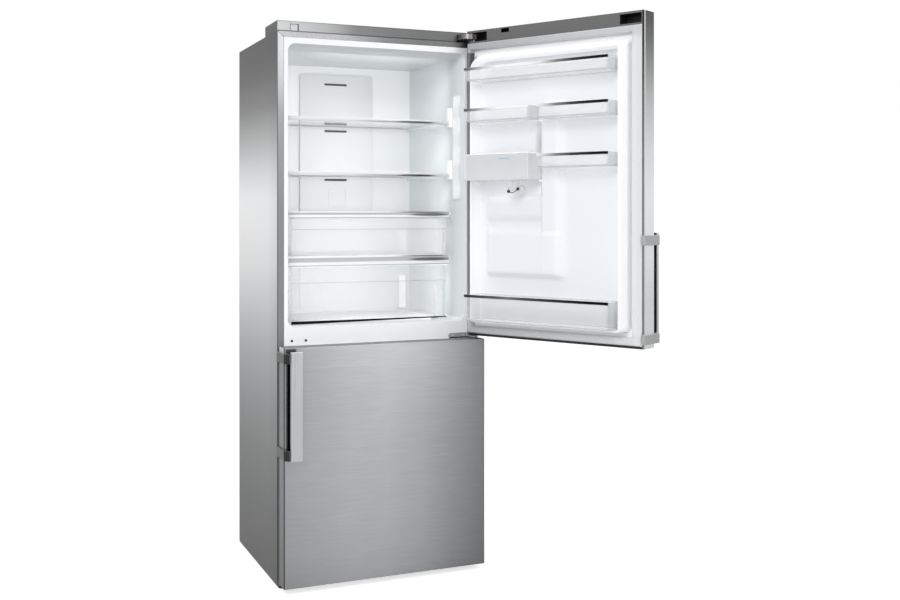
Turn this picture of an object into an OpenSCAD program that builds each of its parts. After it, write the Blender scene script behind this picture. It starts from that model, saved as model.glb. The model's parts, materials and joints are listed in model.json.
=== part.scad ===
// Fridge freezer with the fridge above and the freezer below, no-frost, with a
// water dispenser in the fridge door. It stands on the floor at z = 0. The
// cabinet's front plane is y = 0, its back is at +y and its hinge side at +x.
// The fridge door is drawn standing open and the freezer door shut. Parts of
// the fridge door are written in the shut door's coordinates and then swung.

/* [Cabinet] */
// Width of the cabinet and of both doors
body_w = 700; // [680:1:740]
// Depth of the cabinet behind its front plane
body_d = 570; // [560:1:600]
// Height of the side panels' lower edge above the floor
side_low = 8; // [6:1:10]
// Thickness of the sheet steel
sheet = 1.2; // [0.8:0.1:1.5]
// Width of the folded front flange
flange_w = 22; // [18:1:24]
// Height of the plastic cap along the top front edge
cap_h = 33; // [28:1:40]
// Depth of that cap from front to back
cap_d = 166; // [120:1:220]
// Wall of the cap
cap_wall = 2.5; // [2:0.1:4]
// Distance from the cabinet's sides to the compartments' front openings
wall_side = 35; // [32:1:38]
// Distance from the cabinet's back to the fridge compartment
wall_back = 70; // [64:1:80]
// Amount by which the compartments narrow towards the back, on each side
narrow = 19; // [14:1:22]
// Height of the compressor bay's roof above the floor
bay_top = 290; // [280:1:300]
// Depth of the compressor bay from the back
bay_d = 225; // [215:1:235]

/* [Doors] */
// Thickness of both doors without gasket and liner
door_t = 66; // [60:1:72]
// Gap between the cabinet and the shut doors, filled by the gaskets
door_gap = 22; // [20:1:24]
// Height of the freezer door's lower edge above the floor
door_low = 22; // [21:1:26]
// Height of the freezer door
freezer_door_h = 769; // [755:1:785]
// Gap between the two doors
seam = 10; // [9:0.5:14]
// Height of the fridge door
fridge_door_h = 1049; // [1045:1:1080]
// Radius of the doors' upright front edges
edge_r = 5; // [3:0.5:8]
// Width of the skin's folded return on the inner side
return_w = 5; // [3:0.5:6]
// Distance of the fridge door's upper cap below the side panels' upper edge
crown_down = 11; // [9:1:14]
// Height of the other door caps
cap_low_h = 8; // [7:0.5:12]
// Angle at which the fridge door is drawn open
door_open = 117.7; // [100:0.1:122]

/* [Hinges] */
// Distance of the hinge axis from the door's side edge
axis_in = 18; // [16:0.5:20]
// Distance of the hinge axis in front of the cabinet
axis_out = 38; // [36:0.5:42]
// Radius of the hinge pins
pin_r = 6; // [4:0.5:7]
// Radial clearance of every pin and shaft
play = 0.06; // [0.03:0.01:0.09]
// Radius of the rounded ends of the hinge arms
arm_r = 13; // [10:0.5:14]
// Reach of the upper hinge arm inward of the axis
arm_side = 46; // [40:1:52]
// Radius of that arm's wide nose
nose_r = 30; // [24:1:32]
// Thickness of the upper hinge arm
arm_t = 17; // [14:0.5:18]
// Thickness of the middle and lower hinge plates
plate_t = 5; // [4:0.5:6]
// Depth of the pin in its door cap
pin_in = 18; // [12:1:24]

/* [Gaskets] */
// Width of the gasket strip
gasket_w = 28; // [24:1:30]
// Gap left between the gasket and the cabinet
gasket_play = 0.3; // [0.2:0.05:0.6]
// Distance of the gasket's outer edge from the door's edge
gasket_in = 7; // [6:0.5:9]
// Amount by which the gasket's face is narrower at its outer edge
gasket_bevel = 12; // [12:0.5:14]

/* [Door liners] */
// Wall of the door liners
liner_t = 2; // [1.5:0.1:3]
// Height of the rim round the fridge door's liner behind the front plane
rim_h = 34; // [26:1:36]
// Height of the rim round the freezer door's liner behind the front plane
freezer_rim_h = 12; // [6:1:14]
// Width of the rims at their crest
rim_w = 12; // [10:0.5:16]
// Distance of the liner's centre panel in front of the front plane
panel_in = 14; // [12:0.5:18]
// Height of the upright rib in the middle of the fridge door's liner
rib_h = 20; // [14:1:22]

/* [Door shelves] */
// Distance from the door's sides to the ends of the door shelves
bin_side = 66; // [64:0.5:70]
// Distance of the door shelves' front faces behind the front plane
bin_front = 79; // [70:0.5:80]
// Wall of the door shelves
bin_wall = 2.5; // [2:0.1:4]
// Height of the lower wall round the door shelves
bin_h = 44; // [36:1:50]
// Height of the bottle shelf
bottle_h = 88; // [70:1:100]
// Underside of the bottle shelf above the fridge door's lower edge
bottle_z = 59; // [56:1:64]
// Underside of the lower right shelf below the fridge door's upper cap
low_bin_down = 439; // [415:1:465]
// Underside of the middle shelves below the fridge door's upper cap
mid_bin_down = 280; // [265:1:290]
// Underside of the top shelf below the fridge door's upper cap
top_bin_down = 143; // [125:1:165]
// Gap between the left and right shelves of the split rows
bin_split = 32; // [28:1:36]
// Height of the bright rail along each shelf
rail_h = 8; // [6:0.5:10]

/* [Water tank and dispenser] */
// Height of the water tank
tank_h = 88; // [80:1:96]
// Underside of the tank below the fridge door's upper cap
tank_down = 476; // [465:1:485]
// Left side of the dispenser from the door's middle
disp_x = 30; // [28:1:36]
// Width of the dispenser
disp_w = 160; // [150:1:170]
// Underside of the dispenser above the fridge door's lower edge
disp_z = 229; // [220:1:240]
// Height of the dispenser
disp_h = 296; // [286:1:299]
// Height of the dispenser's recess
recess_h = 226; // [216:1:230]
// Depth of the dispenser's recess
recess_d = 66; // [60:1:68]

/* [Handles] */
// Length of the handle bars
bar_len = 345; // [300:1:400]
// Width of the handle bars
bar_w = 38; // [30:1:44]
// Thickness of the handle bars
bar_t = 14; // [10:0.5:16]
// Distance of the bar's outer face from the door
bar_out = 47; // [44:1:54]
// Distance of the bar's edge from the door's side edge
bar_in = 11; // [8:0.5:14]
// Height of the handle brackets
bracket_h = 31; // [24:1:36]
// Thickness of the handle brackets
bracket_t = 7; // [5:0.5:8]

/* [Fridge compartment] */
// Fridge floor above the freezer door's upper edge
floor_up = 57; // [56:1:60]
// Upper edge of the fridge opening below the side panels' upper edge
ceiling_down = 39; // [34:1:44]
// Lower crisper cover above the fridge floor
cover_low = 227; // [222:1:232]
// Upper crisper cover above the fridge floor
cover_high = 378; // [372:1:384]
// Lower glass shelf above the fridge floor
shelf_low = 513; // [505:1:520]
// Upper glass shelf above the fridge floor
shelf_high = 699; // [690:1:708]
// Distance of the shelves' fronts from the front plane
shelf_front = 88; // [86:1:94]
// Distance from the cabinet's sides to the glass shelves
shelf_side = 60; // [59:0.5:64]
// Thickness of the glass
glass_t = 4; // [3:0.5:5]
// Width of the ledges that carry the shelves
ledge_w = 14; // [12:0.5:18]
// Distance from the cabinet's sides to the crispers
crisper_side = 70; // [67:1:80]
// Wall of the crispers and freezer drawers
crisper_wall = 2.6; // [2:0.1:4]
// Half the width of the air duct cover
duct_half = 141; // [120:1:160]

/* [Freezer compartment] */
// Freezer floor above the floor
freezer_floor = 126; // [120:1:130]
// Freezer ceiling below the freezer door's upper edge
freezer_ceiling_down = 49; // [46:1:54]
// Distance from the cabinet's sides to the freezer drawers
drawer_side = 74; // [72:1:80]
// Distance of the drawers' fronts from the front plane
drawer_front = 60; // [58:1:66]
// Height of the top drawer
top_drawer_h = 160; // [150:1:170]
// Underside of the middle drawer above the step over the compressor bay
mid_drawer_up = 32; // [28:1:44]
// Distance of the evaporator fan's axis below the freezer ceiling
fan_down = 76; // [70:1:84]
// Depth of the evaporator's room behind the freezer
cooler_d = 74; // [66:1:80]

/* [Feet and machinery] */
// Radius of the front feet
foot_r = 20; // [16:0.5:22]
// Radius of the threaded foot studs
stud_r = 5; // [4:0.5:6]
// Radius of the rear rollers
roller_r = 14; // [12:0.5:16]
// Distance of the rear rollers' axle behind the compressor bay's front wall
roller_in = 55; // [45:1:70]
// Radius of the compressor
comp_r = 68; // [60:1:75]
// Height of the compressor
comp_h = 150; // [130:1:160]
// Radius of the evaporator fan
fan_r = 50; // [40:1:52]

/* [Hidden] */
$fn = 48;

eps = 0.3; // rest gap between pieces that move apart
lip = 2; // thickness of the liners' front lips
cut = 1; // overrun of a cutting tool

// Outline of the cabinet and the doors
half = body_w / 2;
inside_w = half - sheet;
opening_half = half - flange_w;
seam_z = door_low + freezer_door_h;
fridge_low = seam_z + seam;
total_h = fridge_low + fridge_door_h;
side_top = total_h - cap_h;
crown_z = side_top - crown_down;
flange_top_z = side_top - flange_w + 2;
inner_v = -door_gap;
outer_v = inner_v - door_t;
hinge_x = half - axis_in;
hinge_y = -axis_out;

// Compartments
room_half = half - wall_side;
back_half = room_half - narrow;
room_d = body_d - wall_back;
floor_z = seam_z + floor_up;
ceiling_z = side_top - ceiling_down;
freezer_top = seam_z - freezer_ceiling_down;
freezer_back = room_d - 10;
bay_y = body_d - bay_d;
step_y = bay_y - 38; // upright face of the step over the compressor bay
step_z = bay_top + 40; // level face of that step
flare = 24; // depth over which the openings narrow
flare_in = 4; // narrowing over that depth
dip = 8; // the fridge ceiling hangs this much lower behind its opening's edge
room_top = ceiling_z - dip;
corner_r = 26; // rounding of the fridge compartment's corners
lip_h = 10; // height of the lips above and below the openings

// Shelves and drawers
cover_low_z = floor_z + cover_low;
cover_high_z = floor_z + cover_high;
shelf_low_z = floor_z + shelf_low;
shelf_high_z = floor_z + shelf_high;
shelf_half = half - shelf_side;
crisper_half = half - crisper_side;
drawer_half = half - drawer_side;
shelf_back = room_d - 20;
cooler_y = freezer_back - cooler_d; // front of the cover over the evaporator
ledge_h = 8;
ledge_in = 30; // distance of the ledges' ends behind the shelf fronts
runner_x = [-crisper_half + 30, -crisper_half + 50];
drawer_runner_x = [-drawer_half + 30, -drawer_half + 50];

// A box given by its three spans
module slab(x, y, z) {
    translate([x[0], y[0], z[0]]) cube([x[1] - x[0], y[1] - y[0], z[1] - z[0]]);
}

// The children on the left side and on the right side
module both_sides() {
    children();
    mirror([1, 0, 0]) children();
}

// A flat plate facing along y, with rounded corners
module rounded_plate(x, y, z, r) {
    w = x[1] - x[0];
    h = z[1] - z[0];
    translate([x[0], y[1], z[0]]) rotate([90, 0, 0]) linear_extrude(y[1] - y[0]) {
        translate([r, 0]) square([w - 2 * r, h]);
        translate([0, r]) square([w, h - 2 * r]);
        for (px = [r, w - r], pz = [r, h - r]) translate([px, pz]) circle(r);
    }
}

// A round bar along x
module cross_bar(x, y, z, r) {
    translate([x[0], y, z]) rotate([0, 90, 0]) cylinder(r = r, h = x[1] - x[0]);
}

// A block along y whose x and z spans change from the first face to the last
module taper(y, xa, za, xb, zb) {
    z_low = min(za[0], zb[0]);
    z_high = max(za[1], zb[1]);
    x_low = min(xa[0], xb[0]);
    x_high = max(xa[1], xb[1]);
    intersection() {
        translate([0, 0, z_low]) linear_extrude(z_high - z_low)
            polygon([[xa[0], y[0]], [xa[1], y[0]], [xb[1], y[1]], [xb[0], y[1]]]);
        translate([x_low, 0, 0]) rotate([90, 0, 90]) linear_extrude(x_high - x_low)
            polygon([[y[0], za[0]], [y[1], zb[0]], [y[1], zb[1]], [y[0], za[1]]]);
    }
}

// A hollow along y: widths are [y, half width], heights are [y, low, high]
module hollow(widths, heights) {
    last_w = len(widths) - 1;
    last_h = len(heights) - 1;
    z_low = min([for (s = heights) s[1]]);
    z_high = max([for (s = heights) s[2]]);
    x_max = max([for (s = widths) s[1]]);
    intersection() {
        translate([0, 0, z_low]) linear_extrude(z_high - z_low)
            polygon(concat([for (s = widths) [s[1], s[0]]],
                           [for (i = [last_w:-1:0]) [-widths[i][1], widths[i][0]]]));
        translate([-x_max, 0, 0]) rotate([90, 0, 90]) linear_extrude(2 * x_max)
            polygon(concat([for (s = heights) [s[0], s[1]]],
                           [for (i = [last_h:-1:0]) [heights[i][0], heights[i][2]]]));
    }
}

// The fridge door's children, swung from shut to the drawn angle
module swung() {
    translate([hinge_x, hinge_y, 0]) rotate([0, 0, door_open])
        translate([-hinge_x, -hinge_y, 0]) children();
}

// A round bar on the hinge axis
module on_axis(r, z) {
    translate([hinge_x, hinge_y, z[0]]) cylinder(r = r, h = z[1] - z[0]);
}

// Half the width between the compartments' walls at depth y
throat_half = room_half - flare_in;
function wall_at(y) = throat_half - (throat_half - back_half) * (y - flare) / (room_d - flare);

// The fridge compartment's hollow from y_from on, grown by g
module fridge_room(g, y_from) {
    back = room_d + g;
    hollow([[y_from, room_half + g], [0, room_half + g], [flare, wall_at(flare) + g],
            [back, back_half + g]],
           [[y_from, floor_z - g, ceiling_z + g], [0, floor_z - g, ceiling_z + g],
            [flare, floor_z - g, room_top + g], [back, floor_z - g, room_top + g]]);
}

// The freezer's hollow, which steps up over the compressor bay
module freezer_room(g, y_from) {
    back = freezer_back + g;
    difference() {
        hollow([[y_from, room_half + g], [0, room_half + g], [flare, wall_at(flare) + g],
                [back, back_half + g]],
               [[y_from, freezer_floor - g, freezer_top + g], [back, freezer_floor - g, freezer_top + g]]);
        slab([-half, half], [step_y + g, body_d], [0, step_z - g]);
    }
}

// Cabinet

module cabinet_shell() {
    color("silver") {
        both_sides() {
            slab([-half, -inside_w], [0, body_d], [side_low, side_top]);
            slab([-half, -opening_half], [0, sheet], [side_low, side_top]);
        }
        slab([-half, half], [0, body_d], [side_top - sheet, side_top]);
        slab([-half, half], [0, sheet], [flange_top_z, side_top]);
    }
}

module cabinet_foam() {
    color("khaki") difference() {
        slab([-inside_w, inside_w], [lip, body_d - sheet], [side_low + sheet, side_top - sheet]);
        fridge_room(liner_t, 0);
        freezer_room(liner_t, 0);
        slab([-half, half], [bay_y - sheet, body_d], [0, bay_top + sheet]);
        both_sides() {
            roller_well(sheet);
            translate([-foot_x, foot_y, 0]) cylinder(r = boss_r, h = side_low + boss_h);
        }
    }
}

roller_x = half - 25;
roller_y = bay_y + roller_in;
roller_w = 18;
well_h = 2 * roller_r + 12;
// Space for a rear roller on the left, grown by g
module roller_well(g) {
    slab([-roller_x - roller_w, -roller_x + roller_w + g],
         [roller_y - roller_r - 10 - g, roller_y + roller_r + 10 + g], [0, well_h + g]);
}

module back_panel() {
    rib_gap = 120;
    rib_w = 30;
    end_gap = 180;
    color("lightgray") difference() {
        slab([-inside_w, inside_w], [body_d - sheet, body_d], [bay_top + sheet, side_top - sheet]);
        for (x = [-rib_gap, 0, rib_gap])
            rounded_plate([x - rib_w / 2, x + rib_w / 2], [body_d - sheet / 2, body_d + cut],
                          [bay_top + end_gap, side_top - end_gap], rib_w / 4);
    }
}

foot_x = half - 26;
foot_y = 13;
boss_r = 9;
boss_h = 24;
axle_r = 4;
hub_r = 7;
// Bottom of the cabinet with the compressor bay's walls and the rollers' wells
module base_pan() {
    cheek_x = roller_w / 2 + 2;
    color("gray") {
        difference() {
            union() {
                slab([-inside_w, inside_w], [sheet, body_d - sheet], [side_low, side_low + sheet]);
                slab([-inside_w, inside_w], [bay_y - sheet, bay_y], [side_low, bay_top + sheet]);
                both_sides() {
                    roller_well(sheet);
                    translate([-foot_x, foot_y, side_low]) cylinder(r = boss_r, h = boss_h);
                }
            }
            both_sides() {
                roller_well(0);
                translate([-foot_x, foot_y, 0]) cylinder(r = stud_r + play, h = side_low + boss_h + cut);
            }
        }
        slab([-opening_half, opening_half], [0, 2 * sheet], [side_low, side_low + sheet]);
        slab([-opening_half, opening_half], [0, sheet], [side_low, freezer_floor - lip_h]);
        slab([-inside_w, inside_w], [bay_y - sheet, body_d - sheet], [bay_top, bay_top + sheet]);
        both_sides() {
            for (x = [-roller_x - cheek_x, -roller_x + cheek_x]) {
                cross_bar([x - 1, x + 1], roller_y, roller_r, hub_r);
                slab([x - 1, x + 1], [roller_y - hub_r, roller_y + hub_r], [roller_r, well_h + sheet / 2]);
            }
            cross_bar([-roller_x - cheek_x - 1, -roller_x + cheek_x + 1], roller_y, roller_r, axle_r);
        }
    }
}

// Ledge on the left wall from y[0] to y[1], with its upper face at z
module ledge(inner, y, z) {
    translate([0, 0, z - ledge_h]) linear_extrude(ledge_h)
        polygon([[-wall_at(y[0]) - liner_t / 2, y[0]], [-inner, y[0]],
                 [-inner, y[1]], [-wall_at(y[1]) - liner_t / 2, y[1]]]);
}

crisper_lift = 9; // height of the lower crisper above the fridge floor
module fridge_liner() {
    shelf_zs = [cover_low_z, cover_high_z, shelf_low_z, shelf_high_z];
    color("white") {
        difference() {
            union() {
                fridge_room(liner_t, 0);
                slab([-opening_half, opening_half], [0, lip], [floor_z - lip_h, flange_top_z]);
            }
            intersection() {
                fridge_room(0, -cut);
                rounded_plate([-room_half, room_half], [-cut, body_d], [floor_z, ceiling_z], corner_r);
            }
        }
        for (z = shelf_zs) both_sides()
            ledge(shelf_half - ledge_w, [shelf_front + ledge_in, shelf_back], z - glass_t - eps);
        both_sides() slab(runner_x, [shelf_front + 6, shelf_back - 12],
                          [floor_z - liner_t / 2, floor_z + crisper_lift - eps]);
    }
}

top_drawer_z = freezer_top - 10 - top_drawer_h;
mid_drawer_z = step_z + mid_drawer_up;
mid_drawer_h = top_drawer_z - 22 - mid_drawer_z;
low_drawer_z = freezer_floor + 8;
low_drawer_h = mid_drawer_z - 16 - low_drawer_z;
drawer_back = cooler_y - 14;
low_drawer_back = step_y - 12;
module freezer_liner() {
    color("white") {
        difference() {
            union() {
                freezer_room(liner_t, 0);
                slab([-opening_half, opening_half], [0, lip], [freezer_floor - lip_h, freezer_top + lip_h]);
            }
            freezer_room(0, -cut);
        }
        for (z = [mid_drawer_z, top_drawer_z]) both_sides()
            ledge(drawer_half - ledge_w, [drawer_front + ledge_in, drawer_back], z - eps);
        both_sides() slab(drawer_runner_x, [drawer_front + 6, low_drawer_back],
                          [freezer_floor - liner_t / 2, low_drawer_z - eps]);
    }
}

module mullion_cover() {
    color("white") slab([-opening_half, opening_half], [0, lip], [freezer_top + lip_h, floor_z - lip_h]);
}

plug_x = [-half + 42, -half + 72];
plug_z = [side_top + 2, side_top + 24];
arm_z = side_top + 5; // underside of the upper hinge arm
module top_cap() {
    top = side_top + cap_h;
    color("dimgray") difference() {
        slab([-half, half], [0, cap_d], [side_top, top]);
        slab([-half + cap_wall, half - cap_wall], [cap_wall, cap_d - cap_wall],
             [side_top - cut, top - cap_wall]);
        slab([hinge_x - arm_side - 3, half + cut], [-cut, 40], [side_top - cut, arm_z + arm_t + 3]);
        rounded_plate(plug_x, [-cut, cap_wall + cut], plug_z, 2);
    }
}

// Plug in the cap's opening and round plugs in the unused hinge holes
plug_r = 4;
module hole_plugs() {
    fit = 0.4;
    color("gray")
        rounded_plate(plug_x + [fit, -fit], [0, cap_wall], plug_z + [fit, -fit], 1.6);
    color("dimgray") for (x = [-half + 48, -half + 95])
        translate([x, 0, seam_z + seam + 3]) rotate([90, 0, 0]) cylinder(r = plug_r, h = 1.5);
}

// Rounded arm from the hinge axis back to depth y
module hinge_arm(y, z) {
    on_axis(arm_r, z);
    slab([hinge_x - arm_r, hinge_x + arm_r], [hinge_y, y], z);
}

nose_in = 14; // depth of the upper arm's nose centre behind the axis
fix_w = 70; // width of the hinges' fixing plates inward of the axis
screw_r = 5;
pocket_z = [arm_z - 10, arm_z + arm_t + 4]; // span of the crown's recesses
module top_hinge() {
    x = [hinge_x - fix_w, half - cap_wall - 1];
    color("dimgray") {
        hinge_arm(45, [arm_z, arm_z + arm_t]);
        slab([hinge_x - arm_side, hinge_x], [hinge_y + nose_in, 45], [arm_z, arm_z + arm_t]);
        translate([hinge_x - arm_side + nose_r, hinge_y + nose_in, arm_z]) cylinder(r = nose_r, h = arm_t);
        slab(x, [44, 100], [arm_z, arm_z + plate_t]);
        slab(x, [60, 100], [side_top, arm_z + 1]);
        on_axis(pin_r, [pocket_z[0] - pin_in, arm_z + 1]);
        for (i = [0:2]) translate([x[0] + 14 + i * 24, 80, arm_z + plate_t - 1])
            cylinder(r = screw_r, h = 4);
    }
}

middle_z = seam_z + (seam - plate_t) / 2;
middle_w = fix_w + 10;
middle_low = 4; // reach of the fixing plate below the hinge plate
middle_h = 17.5;
module middle_hinge() {
    color("dimgray") {
        hinge_arm(0, [middle_z, middle_z + plate_t]);
        rounded_plate([hinge_x - middle_w, hinge_x + arm_r], [-4, 0],
                      [middle_z - middle_low, middle_z - middle_low + middle_h], 7);
        on_axis(pin_r, [middle_z - pin_in, middle_z + plate_t + pin_in]);
        for (x = [14, 50]) translate([hinge_x - middle_w + x, -3, middle_z - middle_low + middle_h / 2])
            rotate([90, 0, 0]) cylinder(r = screw_r, h = 3);
    }
}

low_plate_z = 12; // underside of the lower hinge plate
module bottom_hinge() {
    z = [low_plate_z, low_plate_z + plate_t];
    color("dimgray") {
        hinge_arm(0, z);
        slab([hinge_x - fix_w, half - 2], [hinge_y + 8, 0], z);
        slab([hinge_x - fix_w, opening_half], [-3, 0], [low_plate_z, low_plate_z + 15]);
        on_axis(pin_r, [low_plate_z, door_low + pin_in]);
    }
}

// Levelling foot with its threaded stud
module foot(x) {
    disc_h = 6;
    color("black") translate([x, foot_y, 0]) {
        cylinder(r = foot_r, h = disc_h);
        cylinder(r = boss_r, h = side_low - eps);
        cylinder(r = stud_r, h = side_low + boss_h - 2);
    }
}

module front_foot_left() foot(-foot_x);
module front_foot_right() foot(foot_x);

module roller(x) {
    color("black") difference() {
        cross_bar([x - roller_w / 2, x + roller_w / 2], roller_y, roller_r, roller_r);
        cross_bar([x - roller_w, x + roller_w], roller_y, roller_r, axle_r + play);
    }
}

module rear_roller_left() roller(-roller_x);
module rear_roller_right() roller(roller_x);

// Fridge compartment

slot_half = 44; // half the width of the air slots
slot_h = 8;
slot_shift = 4; // the slots lie a little to the left
slot_zs = [room_top - 66, shelf_high_z + 9, shelf_high_z - 18, shelf_low_z + 7, shelf_low_z - 15];
duct_t = 3;
duct_d = 10;
duct_r = 14;
hatch_x = [-33, 33];
hatch_z = [cover_high_z + 20, cover_high_z + 86];
hatch_gap = 0.6;
module duct_cover() {
    face = room_d - duct_d;
    z = [floor_z + 20, room_top - 30];
    color("whitesmoke") {
        difference() {
            rounded_plate([-duct_half, duct_half], [face, room_d], z, duct_r);
            rounded_plate([-duct_half + duct_t, duct_half - duct_t], [face + duct_t, room_d + cut],
                          z + [duct_t, -duct_t], duct_r - duct_t);
            for (slot_z = slot_zs)
                rounded_plate([-slot_half - slot_shift, slot_half - slot_shift], [face - cut, room_d + cut],
                              [slot_z - slot_h / 2, slot_z + slot_h / 2], slot_h / 2 - 1);
            rounded_plate(hatch_x, [face - cut, face + duct_t + cut], hatch_z, 4);
        }
        rounded_plate(hatch_x + [hatch_gap, -hatch_gap], [face, face + duct_t],
                      hatch_z + [hatch_gap, -hatch_gap], 3.5);
    }
}

lamp_y = [34, 92]; // span of the wall lamps from the front plane
lamp_z = [cover_high_z + 45, room_top - 134];
lamp_t = 5;
module led_lamps() {
    slope = 6;
    front = wall_at(lamp_y[0]);
    back = wall_at(lamp_y[1]);
    color("white") both_sides() translate([0, 0, lamp_z[0]]) linear_extrude(lamp_z[1] - lamp_z[0])
        polygon([[-front, lamp_y[0]], [-front + lamp_t, lamp_y[0] + slope],
                 [-back + lamp_t, lamp_y[1] - slope], [-back, lamp_y[1]]]);
}

clip_gap = 1.5; // gap between the shelves and the clips on the walls
module shelf_clips() {
    y = [shelf_front + 12, shelf_front + 22];
    color("white") for (z = [shelf_low_z, shelf_high_z]) both_sides()
        slab([-wall_at(y[1]), -shelf_half - clip_gap], y, [z - 19, z + 48]);
}

edge_h = 1.5; // rise of the trims above the glass
trim_h = 13; // height of the glass shelves' front trims
cover_trim_high = 22.5; // height of the upper crisper cover's front trim
cover_trim_low = 34.5; // height of the lower crisper cover's front trim
trim_d = 14;
trim_grip = 3; // depth to which the trims grip the glass

module shelf_glass(z) {
    color("lightcyan", 0.4)
        slab([-shelf_half, shelf_half], [shelf_front + trim_grip, shelf_back], [z - glass_t, z]);
}

// Front trim and rear rail that grip the glass
module shelf_trim(z, h) {
    rear_half = shelf_half - ledge_w - clip_gap;
    color("whitesmoke") difference() {
        union() {
            slab([-shelf_half, shelf_half], [shelf_front, shelf_front + trim_d],
                 [z - h + edge_h, z + edge_h]);
            slab([-rear_half, rear_half], [shelf_back - 8, shelf_back + trim_grip],
                 [z - glass_t - 3, z + 3]);
        }
        slab([-half, half], [shelf_front + trim_grip, shelf_back], [z - glass_t, z]);
    }
}

module shelf_upper_glass() shelf_glass(shelf_high_z);
module shelf_upper_trim() shelf_trim(shelf_high_z, trim_h);
module shelf_lower_glass() shelf_glass(shelf_low_z);
module shelf_lower_trim() shelf_trim(shelf_low_z, trim_h);

module crisper_cover_glass() {
    shelf_glass(cover_low_z);
    shelf_glass(cover_high_z);
}

module crisper_cover_trim() {
    shelf_trim(cover_low_z, cover_trim_low);
    shelf_trim(cover_high_z, cover_trim_high);
}

// An open tray given by its outer spans
module tray(x, y, z, wall) {
    difference() {
        slab(x, y, z);
        slab(x + [wall, -wall], y + [wall, -wall], [z[0] + wall, z[1] + cut]);
    }
}

// A crisper whose front has a proud lip of height lip_z across its top
module crisper(z, lip_z) {
    proud = 4;
    color("azure", 0.5) {
        tray([-crisper_half, crisper_half], [shelf_front + proud, shelf_back - 12], z, crisper_wall);
        slab([-crisper_half, crisper_half], [shelf_front, shelf_front + proud + 1], [z[1] - lip_z, z[1]]);
    }
}

crisper_gap = 2.5; // gap between the crispers and the trims above them
module crisper_upper()
    crisper([cover_low_z + edge_h + eps, cover_high_z + edge_h - cover_trim_high - crisper_gap], 36);
module crisper_lower()
    crisper([floor_z + crisper_lift, cover_low_z + edge_h - cover_trim_low - crisper_gap], 54);

// Freezer compartment

// A drawer with a tall front, which has a grip slot, and a lower tray
module drawer(z, h, y_end) {
    front = 6;
    grip_w = 140;
    tray_down = 44;
    color("white") difference() {
        slab([-drawer_half, drawer_half], [drawer_front, drawer_front + front], [z, z + h]);
        rounded_plate([-grip_w / 2, grip_w / 2], [drawer_front - cut, drawer_front + front + cut],
                      [z + h - 38, z + h - 14], 10);
    }
    color("azure", 0.5)
        tray([-drawer_half + 2, drawer_half - 2], [drawer_front + front - 1, y_end], [z, z + h - tray_down],
             crisper_wall);
}

module freezer_drawer_top() drawer(top_drawer_z, top_drawer_h, drawer_back);
module freezer_drawer_middle() drawer(mid_drawer_z, mid_drawer_h, drawer_back);
module freezer_drawer_bottom() drawer(low_drawer_z, low_drawer_h, low_drawer_back);

fan_z = freezer_top - fan_down;
cover_t = 3;
module evaporator_cover() {
    y = [cooler_y, cooler_y + cover_t];
    cover_half = wall_at(y[1]) - 0.5;
    color("whitesmoke") {
        difference() {
            slab([-cover_half, cover_half], y, [step_z + eps, freezer_top - eps]);
            translate([0, y[0] - cut, fan_z]) rotate([-90, 0, 0])
                cylinder(r = fan_r + 3, h = cover_t + 2 * cut);
            for (x = [-180:60:180])
                slab([x - 20, x + 20], [y[0] - cut, y[1] + cut], [step_z + 22, step_z + 30]);
        }
        for (a = [0, 90]) translate([0, 0, fan_z]) rotate([0, a, 0])
            slab([-fan_r - 4, fan_r + 4], y, [-2, 2]);
    }
}

shaft_r = 3;
module fan_motor() {
    motor_r = 22;
    far = cooler_y + 59;
    leg_x = [fan_r + 4, fan_r + 8];
    color("dimgray") translate([0, 0, fan_z]) {
        rotate([-90, 0, 0]) translate([0, 0, cooler_y + 5]) cylinder(r = shaft_r, h = 30);
        rotate([-90, 0, 0]) translate([0, 0, far - 28]) cylinder(r = motor_r, h = 26);
        for (a = [45, 135]) rotate([0, a, 0]) slab([-leg_x[1], leg_x[1]], [far - 3, far], [-4, 4]);
        for (a = [45:90:315]) rotate([0, a, 0]) slab(leg_x, [cooler_y + cover_t, far], [-4, 4]);
    }
}

module fan_blades() {
    blades = 5;
    rotor_r = 12;
    chord = 26;
    color("white") translate([0, cooler_y + 8, fan_z]) rotate([-90, 0, 0]) difference() {
        union() {
            cylinder(r = rotor_r, h = 16);
            for (i = [0:blades - 1]) rotate([0, 0, i * 360 / blades]) translate([rotor_r - 3, 0, 8])
                rotate([28, 0, 0]) translate([0, -chord / 2, -1]) cube([fan_r - rotor_r, chord, 2]);
        }
        translate([0, 0, -cut]) cylinder(r = shaft_r + play, h = 16 + 2 * cut);
    }
}

module evaporator() {
    y = [cooler_y + 12, freezer_back - 6];
    z = [step_z + 40, fan_z - fan_r - 24];
    reach = 250;
    rows = 4;
    fin_gap = 40;
    color("silver") {
        for (x = [-6 * fin_gap:fin_gap:6 * fin_gap]) slab([x - 1, x + 1], y, z);
        for (i = [0:rows - 1])
            cross_bar([-reach, reach], (y[0] + y[1]) / 2, z[0] + (z[1] - z[0]) * (i + 0.5) / rows, 5);
        both_sides() {
            slab([-reach - 2, -reach + 2], y, z);
            slab([-reach - 2, -reach + 2], [y[1] - 1, freezer_back], [z[1] - 30, z[1]]);
        }
    }
}

// Machinery in the compressor bay

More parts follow.
